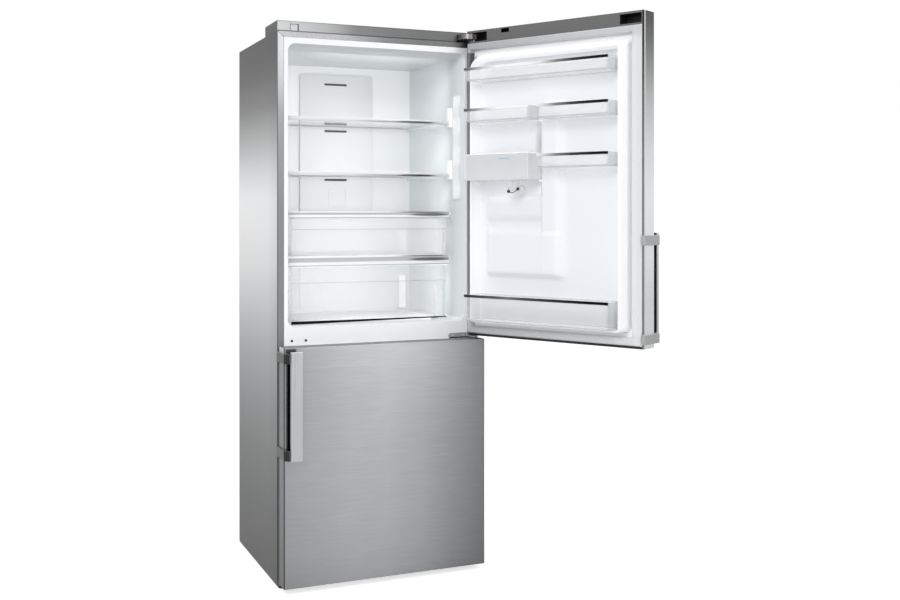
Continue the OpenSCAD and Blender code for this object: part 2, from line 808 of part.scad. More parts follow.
// Compressor on its feet, with the drip pan on top
module compressor() {
    comp_x = 120;
    leg_h = 12;
    rail_t = 4;
    rail_in = 16;
    pan_h = 34;
    color("black") translate([comp_x, body_d - bay_d / 2, side_low + sheet]) {
        rotate_extrude() polygon([[0, leg_h], [comp_r - 14, leg_h], [comp_r, leg_h + 18],
                                  [comp_r, comp_h - 40], [comp_r - 16, comp_h - 12],
                                  [comp_r - 36, comp_h], [0, comp_h]]);
        for (y = [-comp_r + rail_in, comp_r - rail_in]) {
            slab([-comp_r - 8, comp_r + 8], [y - 12, y + 12], [leg_h, leg_h + rail_t]);
            for (x = [-comp_r + 4, comp_r - 4]) translate([x, y, 0]) cylinder(r = 10, h = leg_h + 1);
        }
    }
    color("dimgray") translate([comp_x, body_d - bay_d / 2, side_low + sheet + comp_h])
        tray([-90, 90], [-70, 70], [0, pan_h], cap_wall);
}

inlet_x = -half + 50;
inlet_z = side_low + 26;
inlet_half = [18, 14]; // half the inlet body's width and height
module compressor_cover() {
    y = [body_d - 2 * sheet, body_d - sheet];
    vent_h = 6;
    vent_half = 30;
    vent_z = inlet_z + 30;
    color("gray") difference() {
        slab([-inside_w, inside_w], y, [side_low + sheet, bay_top]);
        for (row = [0:7], x = [-240:80:240])
            slab([x - vent_half, x + vent_half], [y[0] - cut, y[1] + cut],
                 [vent_z + row * 24, vent_z + row * 24 + vent_h]);
        slab([inlet_x - inlet_half[0] - eps, inlet_x + inlet_half[0] + eps], [y[0] - cut, y[1] + cut],
             [inlet_z - inlet_half[1] - eps, inlet_z + inlet_half[1] + eps]);
    }
}

module power_inlet() {
    rim = 4;
    socket = 5;
    color("black") difference() {
        union() {
            slab([inlet_x - inlet_half[0], inlet_x + inlet_half[0]], [body_d - 34, body_d],
                 [inlet_z - inlet_half[1], inlet_z + inlet_half[1]]);
            slab([inlet_x - inlet_half[0] - rim, inlet_x + inlet_half[0] + rim], [body_d - sheet, body_d],
                 [inlet_z - inlet_half[1] - rim, inlet_z + inlet_half[1] + rim]);
        }
        slab([inlet_x - inlet_half[0] + socket, inlet_x + inlet_half[0] - socket],
             [body_d - 20, body_d + cut],
             [inlet_z - inlet_half[1] + socket, inlet_z + inlet_half[1] - socket]);
    }
    color("silver") for (x = [-7, 0, 7])
        slab([inlet_x + x - 1, inlet_x + x + 1], [body_d - 21, body_d - 4], [inlet_z - 3, inlet_z + 3]);
}

// Doors, written shut

// Plan outline of a door drawn in by i, with round front edges
module door_plan(i) {
    r = edge_r - i;
    w = half - i;
    translate([-w, outer_v + i + r]) square([2 * w, door_t - 2 * i - r]);
    translate([-w + r, outer_v + i]) square([2 * (w - r), 2 * r]);
    for (s = [-1, 1]) translate([s * (w - r), outer_v + i + r]) circle(r);
}

// Everything inside a door's skin, over a z span
module door_core(z) {
    return_half = half - return_w;
    translate([0, 0, z[0]]) linear_extrude(z[1] - z[0]) {
        door_plan(sheet);
        translate([-return_half, outer_v + 2 * edge_r]) square([2 * return_half, door_t - 2 * edge_r]);
    }
}

module door_skin(z) {
    difference() {
        translate([0, 0, z[0]]) linear_extrude(z[1] - z[0]) door_plan(0);
        door_core(z + [-cut, cut]);
    }
}

bush_r = pin_r + 6; // radius of the pin bearings on the door caps
bush_over = 5; // bearing left beyond the end of a pin
pin_end = 1; // bore left beyond the end of a pin
pocket_x = [hinge_x - 68, half + cut];
pocket_v = [outer_v + 20, inner_v + cut];
module hinge_pocket(x) {
    slab(x, pocket_v, pocket_z);
}

module fridge_door_skin() {
    color("silver") swung() difference() {
        door_skin([fridge_low, total_h]);
        hinge_pocket(pocket_x);
        dispenser_block();
    }
}

module freezer_door_skin() {
    color("silver") door_skin([door_low, seam_z]);
}

// Hollow of a cap between z[0] and z[1], up to w on both sides
cap_front = 4;
cap_rear = 3;
module cap_hollow(w, z) {
    slab([-w, w], [outer_v + cap_front, inner_v - cap_rear], z);
}

// Lower cap of a door whose lower edge is at z, with the pin's bearing
module lower_cap(z) {
    difference() {
        union() {
            door_core([z, z + cap_low_h]);
            on_axis(bush_r, [z + 1, z + pin_in + bush_over + 3]);
        }
        cap_hollow(hinge_x - bush_r - 8, [z + cap_rear, z + cap_low_h + cut]);
        on_axis(pin_r + play, [z - cut, z + pin_in + pin_end + 3]);
    }
}

module fridge_door_caps() {
    notch_x = [hinge_x - 163, hinge_x - 129];
    blind = [-half + return_w + cap_rear, -pocket_x[0]];
    color("dimgray") swung() {
        difference() {
            union() {
                door_core([crown_z, total_h]);
                on_axis(bush_r, [pocket_z[0] - pin_in - bush_over, crown_z + 1]);
            }
            hinge_pocket(pocket_x);
            hinge_pocket(blind);
            cap_hollow(pocket_x[0] - 8, [crown_z - cut, total_h - cap_rear]);
            slab(notch_x, [inner_v - cap_rear - cut, inner_v + cut], [total_h - 18, total_h - 4]);
            on_axis(pin_r + play, [pocket_z[0] - pin_in - pin_end, pocket_z[0] + 1]);
        }
        lower_cap(fridge_low);
    }
}

module freezer_door_caps() {
    color("dimgray") {
        difference() {
            union() {
                door_core([seam_z - cap_low_h, seam_z]);
                on_axis(bush_r, [seam_z - pin_in - bush_over, seam_z - 1]);
            }
            cap_hollow(hinge_x - bush_r - 8, [seam_z - cap_low_h - cut, seam_z - cap_rear]);
            on_axis(pin_r + play, [seam_z - pin_in - pin_end, seam_z + cut]);
        }
        lower_cap(door_low);
    }
}

rim_out = min(half - gasket_in - gasket_w, room_half) - 1;
rim_slope = 12;
rim_draft = 4;
sill_up = 3; // rise of the fridge rim's lower side above the fridge floor
sill_draft = 2;
panel_v = -panel_in;
// Raised rim of a door liner with its panel, drawn in by i. foot and crest
// are its z spans at the door and at the rim's top, which is h behind y = 0,
// and low_w is the width of its lower side there.
module rim(foot, crest, low_w, h, i) {
    top_half = rim_out - rim_slope;
    in_half = top_half - rim_w;
    in_z = crest + [low_w, -rim_w];
    difference() {
        taper([inner_v - liner_t - i, h - i], [-rim_out + i, rim_out - i], foot + [i, -i],
              [-top_half + i, top_half - i], crest + [i, -i]);
        taper([panel_v - i, h + cut], [-in_half + rim_draft - i, in_half - rim_draft + i],
              in_z + [sill_draft - i, i - rim_draft], [-in_half - i, in_half + i], in_z + [-i, i]);
    }
}

module fridge_rim(i) {
    low_z = floor_z + sill_up;
    clear = sill_up / 2 + i; // distance from the compartment's opening
    intersection() {
        rim([low_z - sill_draft, room_top - 2], [low_z, room_top - 24],
            fridge_low + bottle_z - sill_up - low_z, rim_h, i);
        rounded_plate([-room_half + clear, room_half - clear], [-half, half],
                      [floor_z + clear, ceiling_z - clear], corner_r - i);
    }
}

module freezer_rim(i) {
    rim([freezer_floor - 4, freezer_top + 4], [freezer_floor + 8, freezer_top - 10], rim_w,
        freezer_rim_h, i);
}

rib_x = [-34, 10];
rib_v = panel_v + rib_h; // crest of the rib between the door shelves
disp_low = fridge_low + disp_z;
// Bulges of the fridge door's liner: two over the dispenser, and the rib
module bulges(i) {
    foot_v = panel_v - 2 * liner_t;
    grow = [i, -i];
    low_x = [disp_x - 75, disp_x + 215];
    high_x = [rib_x[1] - 1, low_x[1]];
    low_z = disp_low - 22;
    rib_z = [fridge_low + bottle_z + bottle_h + 24, crown_z - mid_bin_down + 65];
    taper([foot_v, panel_v + 22 - i], low_x + grow, [low_z, low_z + 170] + grow,
          low_x + [8, -8] + grow, [low_z + 12, low_z + 162] + grow);
    taper([foot_v, panel_v + 18 - i], high_x + grow, [low_z + 182, low_z + 282] + grow,
          high_x + [0, -8] + grow, [low_z + 194, low_z + 278] + grow);
    taper([foot_v, rib_v - i], rib_x + [-40, 0] + grow, rib_z + grow,
          rib_x + [0, -2] + grow, rib_z + [10, -10] + grow);
}

bin_half = half - bin_side;
left_span = [bin_split / 2 + 2, bin_half];
right_span = [-bin_half, -bin_split / 2 + 2];
full_span = [-bin_half, bin_half];
deep_v = panel_v + 2; // backs of the full width door shelves
rib_side_v = rib_v + 2; // backs of the shelves that lie over the rib
// Everything that hangs on the fridge door: x span, underside, back
bin_rows = [
    [full_span, crown_z - top_bin_down, deep_v],
    [left_span, crown_z - mid_bin_down, rib_side_v],
    [right_span, crown_z - mid_bin_down, rib_side_v],
    [right_span, crown_z - low_bin_down, rib_side_v],
    [full_span, fridge_low + bottle_z, deep_v],
    [left_span, crown_z - tank_down, rib_side_v]
];

lug_h = 5;
// Ledges under both ends of a door shelf
module shelf_lugs(row) {
    for (s = [0, 1]) {
        end_x = row[0][s];
        side = abs(end_x) == bin_half;
        x = side ? [end_x - 6, end_x + 6] : [end_x - 10, end_x + 2];
        slab(x, [panel_v - 1, side ? 20 : rib_v + 8], [row[1] - eps - lug_h, row[1] - eps]);
    }
}

module fridge_door_liner() {
    color("white") swung() {
        difference() {
            union() {
                slab([-half + gasket_in, half - gasket_in], [inner_v - liner_t, inner_v],
                     [fridge_low + cap_low_h, crown_z]);
                fridge_rim(0);
                bulges(0);
                for (row = bin_rows) shelf_lugs(row);
            }
            fridge_rim(liner_t);
            bulges(liner_t);
        }
    }
}

module freezer_door_liner() {
    color("white") difference() {
        union() {
            slab([-half + gasket_in, half - gasket_in], [inner_v - liner_t, inner_v],
                 [door_low + cap_low_h, seam_z - cap_low_h]);
            freezer_rim(0);
        }
        freezer_rim(liner_t);
    }
}

// Foam between a door's skin and the plane of its liner's flange
module door_foam(z) {
    intersection() {
        door_core(z);
        slab([-half, half], [outer_v, inner_v - liner_t], z);
    }
}

module fridge_door_foam() {
    color("khaki") swung() difference() {
        union() {
            door_foam([fridge_low + cap_low_h, crown_z]);
            fridge_rim(liner_t);
            bulges(liner_t);
        }
        on_axis(bush_r, [pocket_z[0] - pin_in - bush_over, crown_z + cut]);
        on_axis(bush_r, [fridge_low, fridge_low + pin_in + bush_over + 3]);
        dispenser_block();
    }
}

module freezer_door_foam() {
    color("khaki") difference() {
        union() {
            door_foam([door_low + cap_low_h, seam_z - cap_low_h]);
            freezer_rim(liner_t);
        }
        on_axis(bush_r, [seam_z - pin_in - bush_over, seam_z]);
        on_axis(bush_r, [door_low, door_low + pin_in + bush_over + 3]);
    }
}

// Magnetic gasket round a door, wide at its foot and narrow where it seals
module gasket(z) {
    out = half - gasket_in;
    face = min(out - gasket_bevel, hinge_x - 1);
    in_foot = out - gasket_w;
    draft = 4;
    color("lightgray") difference() {
        taper([inner_v, -gasket_play], [-out, out], z, [-face, face], z + [5, -5]);
        taper([inner_v - cut, cut], [-in_foot, in_foot], z + [gasket_w, -gasket_w],
              [-in_foot - draft, in_foot + draft], z + [gasket_w - draft, draft - gasket_w]);
    }
}

module fridge_door_gasket() swung() gasket([fridge_low + cap_low_h, crown_z]);
module freezer_door_gasket() gasket([door_low + cap_low_h, seam_z - cap_low_h]);

// Handle from z upwards: a flat bar on two brackets that wrap the door's edge
module handle(z) {
    x0 = -half + bar_in;
    face = outer_v - bar_out;
    back = face + bar_t;
    hook_x = -half + return_w;
    hook_v = inner_v + bracket_t - 1;
    end_gap = 7; // bar above the upper bracket
    shoulder = 13;
    seat = 11; // depth of the bracket behind the bar
    mid_x = x0 + bar_w / 2;
    color("silver") slab([x0, x0 + bar_w], [face, back], [z, z + bar_len]);
    color("gray") for (low = [z, z + bar_len - bracket_h - end_gap])
        translate([0, 0, low]) linear_extrude(bracket_h)
            polygon([[hook_x, hook_v], [-half - bracket_t, hook_v], [-half - bracket_t, back + shoulder],
                     [x0 - bracket_t + 2, back], [mid_x, back], [mid_x, back + seat],
                     [x0 - 1, back + seat], [-half, outer_v], [-half, inner_v], [hook_x, inner_v]]);
}

module fridge_door_handle() swung() handle(fridge_low + 14);
module freezer_door_handle() handle(seam_z - bar_len - 9);

// Water dispenser in the fridge door

disp_x1 = disp_x + disp_w;
disp_mid = (disp_x + disp_x1) / 2;
wall_d = 4; // thickness of the dispenser's back wall
recess_v = outer_v + recess_d;
recess_x = [disp_x + 5, disp_x1 - 5];
recess_z = [disp_low + 6, disp_low + recess_h];
paddle_half = 28;
paddle_z = recess_z[1] - 32;
paddle_v = recess_v - 16;
stub_r = 2.5;
lug_gap = 3;
lug_t = 4;

// Block that the dispenser takes up inside the door
module dispenser_block() {
    slab([disp_x, disp_x1], [outer_v - cut, recess_v + wall_d], [disp_low, disp_low + disp_h]);
}

module dispenser_housing() {
    bezel = 5;
    proud = 2;
    nozzle_z = recess_z[1] - 18;
    lug_half = 6;
    color("dimgray") swung() {
        difference() {
            union() {
                slab([disp_x, disp_x1], [outer_v - proud, recess_v + wall_d], [disp_low, disp_low + disp_h]);
                rounded_plate([disp_x - bezel, disp_x1 + bezel], [outer_v - proud, outer_v],
                              [disp_low - bezel, disp_low + disp_h + bezel], bezel);
            }
            rounded_plate(recess_x, [outer_v - proud - cut, recess_v], recess_z, 4);
        }
        translate([disp_mid, outer_v + 24, nozzle_z]) difference() {
            cylinder(r = 9, h = 20);
            translate([0, 0, -cut]) cylinder(r = 5, h = 16);
        }
        for (s = [-1, 1]) difference() {
            translate([disp_mid + s * (paddle_half + lug_gap + lug_t / 2) - lug_t / 2, 0, 0])
                slab([0, lug_t], [paddle_v - lug_half, recess_v + 1],
                     [paddle_z - lug_half, paddle_z + lug_half]);
            cross_bar([disp_x, disp_x1], paddle_v, paddle_z, stub_r + play);
        }
    }
}

module dispenser_paddle() {
    reach = paddle_half + lug_gap + lug_t - 0.5;
    color("gray") swung() {
        cross_bar([disp_mid - reach, disp_mid + reach], paddle_v, paddle_z, stub_r);
        cross_bar([disp_mid - paddle_half, disp_mid + paddle_half], paddle_v, paddle_z, stub_r + 2);
        slab([disp_mid - paddle_half, disp_mid + paddle_half], [paddle_v - 4.5, paddle_v - 0.5],
             [paddle_z - 92, paddle_z]);
    }
}

module dispenser_tray() {
    x = recess_x + [4.5, -4.5];
    bar = 4;
    color("dimgray") swung() difference() {
        slab(x, [outer_v + 3, recess_v - 4], [recess_z[0] + eps, recess_z[0] + 10]);
        for (v = [outer_v + 10:2 * bar:recess_v - 12])
            slab(x + [8, -8], [v, v + bar], [recess_z[0] + 3, recess_z[0] + 11]);
    }
}

// Door shelves

// A door shelf of height h with a bright rail along its upper front edge
module bin(row, h) {
    x = row[0];
    z = row[1];
    rail_t = 2;
    face = bin_front - rail_t;
    swung() {
        color("azure", 0.5) tray(x, [row[2], face], [z, z + h], bin_wall);
        color("silver") slab(x + [1, -1], [face, bin_front], [z + h - rail_h, z + h + 1]);
    }
}

module top_bin() bin(bin_rows[0], bin_h);
module left_bin() bin(bin_rows[1], bin_h);
module upper_right_bin() bin(bin_rows[2], bin_h);
module lower_right_bin() bin(bin_rows[3], bin_h);
module bottle_bin() bin(bin_rows[4], bottle_h);

// Water tank in the door with its lid and tap
tank_x = bin_rows[5][0];
tank_low = bin_rows[5][1];
tank_top = tank_low + tank_h;
tank_wall = 3;
lid_x = tank_x + [34, -34];
lid_v = [rib_side_v + 7, bin_front - 8];
lid_z = tank_top + eps + 4; // axis of the lid
lid_r = 1.5;
module water_tank() {
    post = 4;
    mouth = 6;
    color("azure", 0.5) swung() difference() {
        union() {
            slab(tank_x, [rib_side_v, bin_front], [tank_low, tank_top]);
            for (x = [lid_x[0] - 1 - post, lid_x[1] + 1])
                slab([x, x + post], [lid_v[0] - 4, lid_v[0] + 4], [tank_top - 1, lid_z + 4]);
        }
        slab(tank_x + [tank_wall, -tank_wall], [rib_side_v + tank_wall, bin_front - tank_wall],
             [tank_low + tank_wall, tank_top - tank_wall]);
        slab(lid_x + [mouth, -mouth], lid_v + [mouth, -mouth], [tank_top - tank_wall - cut, tank_top + cut]);
        cross_bar([lid_x[0] - 10, lid_x[1] + 10], lid_v[0], lid_z, lid_r + play);
    }
}

module tank_lid() {
    color("whitesmoke") swung() {
        slab(lid_x, lid_v, [tank_top + eps, tank_top + 5]);
        cross_bar(lid_x, lid_v[0], lid_z, 4);
        cross_bar(lid_x + [-4.5, 4.5], lid_v[0], lid_z, lid_r);
    }
}

// Tap under the tank: a neck, a cross barrel to the door and two knobs
module tank_tap() {
    tap_x = tank_x[0] + 72;
    tap_v = 46;
    tap_z = tank_low - 26;
    color("white") swung() {
        translate([tap_x, tap_v, tap_z]) cylinder(r = 13, h = tank_low - tap_z);
        translate([tap_x, rib_side_v + 2, tap_z]) rotate([-90, 0, 0])
            cylinder(r = 12, h = tap_v - rib_side_v + 10);
        cross_bar([tap_x - 25, tap_x + 25], tap_v + 6, tap_z, 5);
    }
}

cabinet_shell();
cabinet_foam();
back_panel();
base_pan();
fridge_liner();
freezer_liner();
mullion_cover();
top_cap();
hole_plugs();
top_hinge();
middle_hinge();
bottom_hinge();
duct_cover();
led_lamps();
shelf_clips();
shelf_upper_glass();
shelf_upper_trim();
shelf_lower_glass();
shelf_lower_trim();
crisper_cover_glass();
crisper_cover_trim();
crisper_upper();
crisper_lower();
freezer_drawer_top();
freezer_drawer_middle();
freezer_drawer_bottom();
compressor();
evaporator();
evaporator_cover();
fan_motor();
fan_blades();
compressor_cover();
front_foot_left();
front_foot_right();
rear_roller_left();
rear_roller_right();
power_inlet();
fridge_door_skin();
fridge_door_caps();
fridge_door_liner();
fridge_door_foam();
fridge_door_gasket();
fridge_door_handle();
dispenser_housing();
dispenser_paddle();
dispenser_tray();
top_bin();
left_bin();
upper_right_bin();
lower_right_bin();
bottle_bin();
water_tank();
tank_lid();
tank_tap();
freezer_door_skin();
freezer_door_caps();
freezer_door_liner();
freezer_door_foam();
freezer_door_gasket();
freezer_door_handle();
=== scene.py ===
import json
import math

import bmesh
import bpy
from mathutils import Matrix, Vector

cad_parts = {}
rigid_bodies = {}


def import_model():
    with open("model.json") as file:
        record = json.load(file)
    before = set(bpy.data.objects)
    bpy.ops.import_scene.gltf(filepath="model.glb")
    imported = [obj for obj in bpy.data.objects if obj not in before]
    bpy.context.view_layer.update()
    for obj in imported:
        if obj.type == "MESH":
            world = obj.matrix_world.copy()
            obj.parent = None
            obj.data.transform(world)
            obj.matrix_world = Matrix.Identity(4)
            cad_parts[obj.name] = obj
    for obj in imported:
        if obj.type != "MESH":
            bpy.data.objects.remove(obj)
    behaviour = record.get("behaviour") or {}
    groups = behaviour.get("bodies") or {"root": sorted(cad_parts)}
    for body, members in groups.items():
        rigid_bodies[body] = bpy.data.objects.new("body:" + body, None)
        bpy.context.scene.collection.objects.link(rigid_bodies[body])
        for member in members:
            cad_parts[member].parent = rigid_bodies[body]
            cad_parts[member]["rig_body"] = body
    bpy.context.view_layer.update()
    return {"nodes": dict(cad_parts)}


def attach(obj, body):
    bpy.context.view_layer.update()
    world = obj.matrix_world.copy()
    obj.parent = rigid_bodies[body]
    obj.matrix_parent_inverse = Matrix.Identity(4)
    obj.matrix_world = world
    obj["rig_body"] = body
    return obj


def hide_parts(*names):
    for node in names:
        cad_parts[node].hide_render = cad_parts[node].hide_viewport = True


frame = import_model()
nodes = frame["nodes"]
mm = 0.001
print("frame loaded,", len(nodes), "nodes")

# the fridge door stands open: shut-door places are turned about its hinge
doorHinge = {"x": 0.332, "y": -0.038, "open": 117.7}
hingeSpot = Matrix.Translation((doorHinge["x"], doorHinge["y"], 0.0))
swing = hingeSpot @ Matrix.Rotation(math.radians(doorHinge["open"]), 4, "Z") @ hingeSpot.inverted()
still = Matrix.Identity(4)


# small helpers for the finishes, which all read Object coordinates
def shutDoorPlace(tree, place):
    back = swing.inverted()
    mapping = tree.nodes.new("ShaderNodeMapping")
    mapping.inputs["Location"].default_value = back.translation
    mapping.inputs["Rotation"].default_value = (0.0, 0.0, -math.radians(doorHinge["open"]))
    tree.links.new(place, mapping.inputs["Vector"])
    return mapping.outputs["Vector"]


def grainOf(tree, place, stretch, detail=3.0):
    mapping = tree.nodes.new("ShaderNodeMapping")
    mapping.inputs["Scale"].default_value = stretch
    noise = tree.nodes.new("ShaderNodeTexNoise")
    noise.inputs["Scale"].default_value = 1.0
    noise.inputs["Detail"].default_value = detail
    tree.links.new(place, mapping.inputs["Vector"])
    tree.links.new(mapping.outputs["Vector"], noise.inputs["Vector"])
    return noise.outputs["Fac"]


def grey(v):
    return (v, v * 1.003, v * 1.008) if isinstance(v, (int, float)) else v


def shadesOf(tree, factor, stops):
    ramp = tree.nodes.new("ShaderNodeValToRGB")
    bar = ramp.color_ramp
    while len(bar.elements) < len(stops):
        bar.elements.new(0.5)
    for element, (at, tone) in zip(bar.elements, stops):
        element.position = at
        element.color = (*grey(tone), 1.0)
    tree.links.new(factor, ramp.inputs["Fac"])
    return ramp.outputs["Color"]


def spreadOf(tree, factor, low, high, fromLow=0.3, fromHigh=0.7):
    spread = tree.nodes.new("ShaderNodeMapRange")
    spread.inputs["From Min"].default_value = fromLow
    spread.inputs["From Max"].default_value = fromHigh
    spread.inputs["To Min"].default_value = low
    spread.inputs["To Max"].default_value = high
    tree.links.new(factor, spread.inputs["Value"])
    return spread.outputs["Result"]


def mixOf(tree, kind, strength, first, second):
    mix = tree.nodes.new("ShaderNodeMix")
    mix.data_type = "RGBA"
    mix.blend_type = kind
    mix.inputs["Factor"].default_value = strength
    tree.links.new(first, mix.inputs[6])
    tree.links.new(second, mix.inputs[7])
    return mix.outputs[2]


# tones along one axis, from (metres, tone) stops
def bandOf(tree, place, band):
    apart = tree.nodes.new("ShaderNodeSeparateXYZ")
    tree.links.new(place, apart.inputs["Vector"])
    value = apart.outputs[band["axis"]]
    if band.get("bothSides"):
        size = tree.nodes.new("ShaderNodeMath")
        size.operation = "ABSOLUTE"
        tree.links.new(value, size.inputs[0])
        value = size.outputs[0]
    stops = band["stops"]
    low, high = stops[0][0], stops[-1][0]
    factor = spreadOf(tree, value, 0.0, 1.0, low, high)
    return shadesOf(tree, factor, [((at - low) / (high - low), tone) for at, tone in stops])


# a soft oval of another tone, white elsewhere
def spotOf(tree, place, spot):
    mapping = tree.nodes.new("ShaderNodeMapping")
    mapping.inputs["Scale"].default_value = [1.0 / r for r in spot["radii"]]
    mapping.inputs["Location"].default_value = [-c / r for c, r in zip(spot["centre"], spot["radii"])]
    ball = tree.nodes.new("ShaderNodeTexGradient")
    ball.gradient_type = "SPHERICAL"
    tree.links.new(place, mapping.inputs["Vector"])
    tree.links.new(mapping.outputs["Vector"], ball.inputs["Vector"])
    soft = spot.get("soft", 0.5)
    return shadesOf(tree, ball.outputs["Fac"], [(0.0, 1.0), (soft, spot["tone"]), (1.0, spot["tone"])])


# a rectangle of another tone in the plane of two axes, white elsewhere
def patchOf(tree, place, patch):
    inside = None
    for axis, (low, high) in patch["spans"]:
        rim = patch.get("rim", 0.002)
        band = {"axis": axis, "stops": [(low - rim - 0.01, 0.0), (low - rim, 0.0), (low, 1.0), (high, 1.0),
                                        (high + rim, 0.0), (high + rim + 0.01, 0.0)]}
        part = bandOf(tree, place, band)
        inside = part if inside is None else mixOf(tree, "MULTIPLY", 1.0, inside, part)
    return shadesOf(tree, inside, [(0.0, 1.0), (1.0, patch["tone"])])


def makeFinish(name, look):
    material = bpy.data.materials.new(name)
    material.use_nodes = True
    tree = material.node_tree
    shader = tree.nodes["Principled BSDF"]
    shader.inputs["Metallic"].default_value = look.get("metallic", 0.0)
    shader.inputs["Alpha"].default_value = look.get("alpha", 1.0)
    shader.inputs["Coat Weight"].default_value = look.get("coat", 0.0)
    shader.inputs["Specular IOR Level"].default_value = look.get("specular", 0.5)
    place = tree.nodes.new("ShaderNodeTexCoord").outputs["Object"]
    if look.get("onDoor"):
        place = shutDoorPlace(tree, place)
    base = grey(look["colour"])
    vary = look.get("vary", 0.03)
    fine = grainOf(tree, place, look.get("grain", (700.0, 700.0, 700.0)), look.get("detail", 3.0))
    colour = shadesOf(tree, fine, [(0.32, tuple(c * (1.0 - vary) for c in base)),
                                   (0.68, tuple(min(1.0, c * (1.0 + vary)) for c in base))])
    if look.get("cloud"):
        wide = grainOf(tree, place, look.get("cloudGrain", (6.0, 6.0, 6.0)), 2.0)
        clouds = shadesOf(tree, wide, [(0.3, 1.0 - look["cloud"]), (0.7, 1.0)])
        colour = mixOf(tree, "MULTIPLY", 1.0, colour, clouds)
    for band in look.get("bands", []):
        colour = mixOf(tree, "MULTIPLY", 1.0, colour, bandOf(tree, place, band))
    for spot in look.get("spots", []):
        colour = mixOf(tree, "MULTIPLY", 1.0, colour, spotOf(tree, place, spot))
    for patch in look.get("patches", []):
        colour = mixOf(tree, "MULTIPLY", 1.0, colour, patchOf(tree, place, patch))
    tree.links.new(colour, shader.inputs["Base Color"])
    rough = look.get("rough", 0.4)
    tree.links.new(spreadOf(tree, fine, rough * 0.85, rough * 1.18), shader.inputs["Roughness"])
    if look.get("glow"):
        tree.links.new(colour, shader.inputs["Emission Color"])
        shader.inputs["Emission Strength"].default_value = look["glow"]
    bump = tree.nodes.new("ShaderNodeBump")
    bump.inputs["Strength"].default_value = look.get("bump", 0.2)
    bump.inputs["Distance"].default_value = look.get("depth", 0.00004)
    tree.links.new(fine, bump.inputs["Height"])
    tree.links.new(bump.outputs["Normal"], shader.inputs["Normal"])
    return material


# how the steel tones run, painted reflection of the studio: up the side, across and up the doors
sideRun = [(0.0, 0.125), (0.088, 0.132), (0.227, 0.165), (0.401, 0.25), (0.575, 0.40), (0.749, 0.60),
           (0.923, 0.86), (1.05, 1.0), (1.18, 1.0), (1.271, 0.97), (1.36, 0.77), (1.445, 0.53), (1.584, 0.19),
           (1.688, 0.075), (1.758, 0.040), (1.812, 0.030), (1.8145, 0.02), (1.85, 0.02)]
doorEdgeRun = [(0.0, 0.35), (0.80, 0.90), (0.841, 0.88), (0.95, 0.86), (1.075, 0.91), (1.262, 0.88),
               (1.417, 0.73), (1.573, 0.50), (1.666, 0.315), (1.76, 0.164), (1.822, 0.097), (1.85, 0.08)]
doorAcross = [(-0.35, 0.84), (-0.26, 0.94), (-0.12, 1.06), (0.0, 1.06), (0.12, 0.93), (0.22, 0.73),
              (0.30, 0.58), (0.35, 0.48)]
freezerUp = [(0.02, 0.37), (0.12, 0.415), (0.30, 0.45), (0.45, 0.48), (0.60, 0.54), (0.75, 0.64),
             (0.80, 0.66)]
fridgeUp = [(0.80, 0.56), (1.0, 0.62), (1.25, 0.66), (1.5, 0.60), (1.85, 0.48)]
brushed = {"metallic": 1.0, "rough": 0.34, "colour": 1.0, "vary": 0.085, "grain": (16.0, 16.0, 640.0),
           "detail": 4.0, "bump": 0.12, "cloud": 0.06, "cloudGrain": (9.0, 9.0, 300.0)}
painted = {"metallic": 0.75, "rough": 0.4, "vary": 0.035, "grain": (520.0, 520.0, 520.0), "detail": 2.0,
           "bump": 0.25}
satin = {"metallic": 0.7, "rough": 0.35, "colour": 1.0, "grain": (210.0, 210.0, 210.0)}
doorEdge = {"metallic": 0.9, "rough": 0.36, "colour": 1.0, "grain": (9.0, 9.0, 900.0)}
chrome = {"metallic": 1.0, "rough": 0.14, "colour": 1.0, "vary": 0.02, "grain": (4.0, 4.0, 500.0),
          "onDoor": True}
moulded = {"rough": 0.3, "vary": 0.006, "cloud": 0.01}
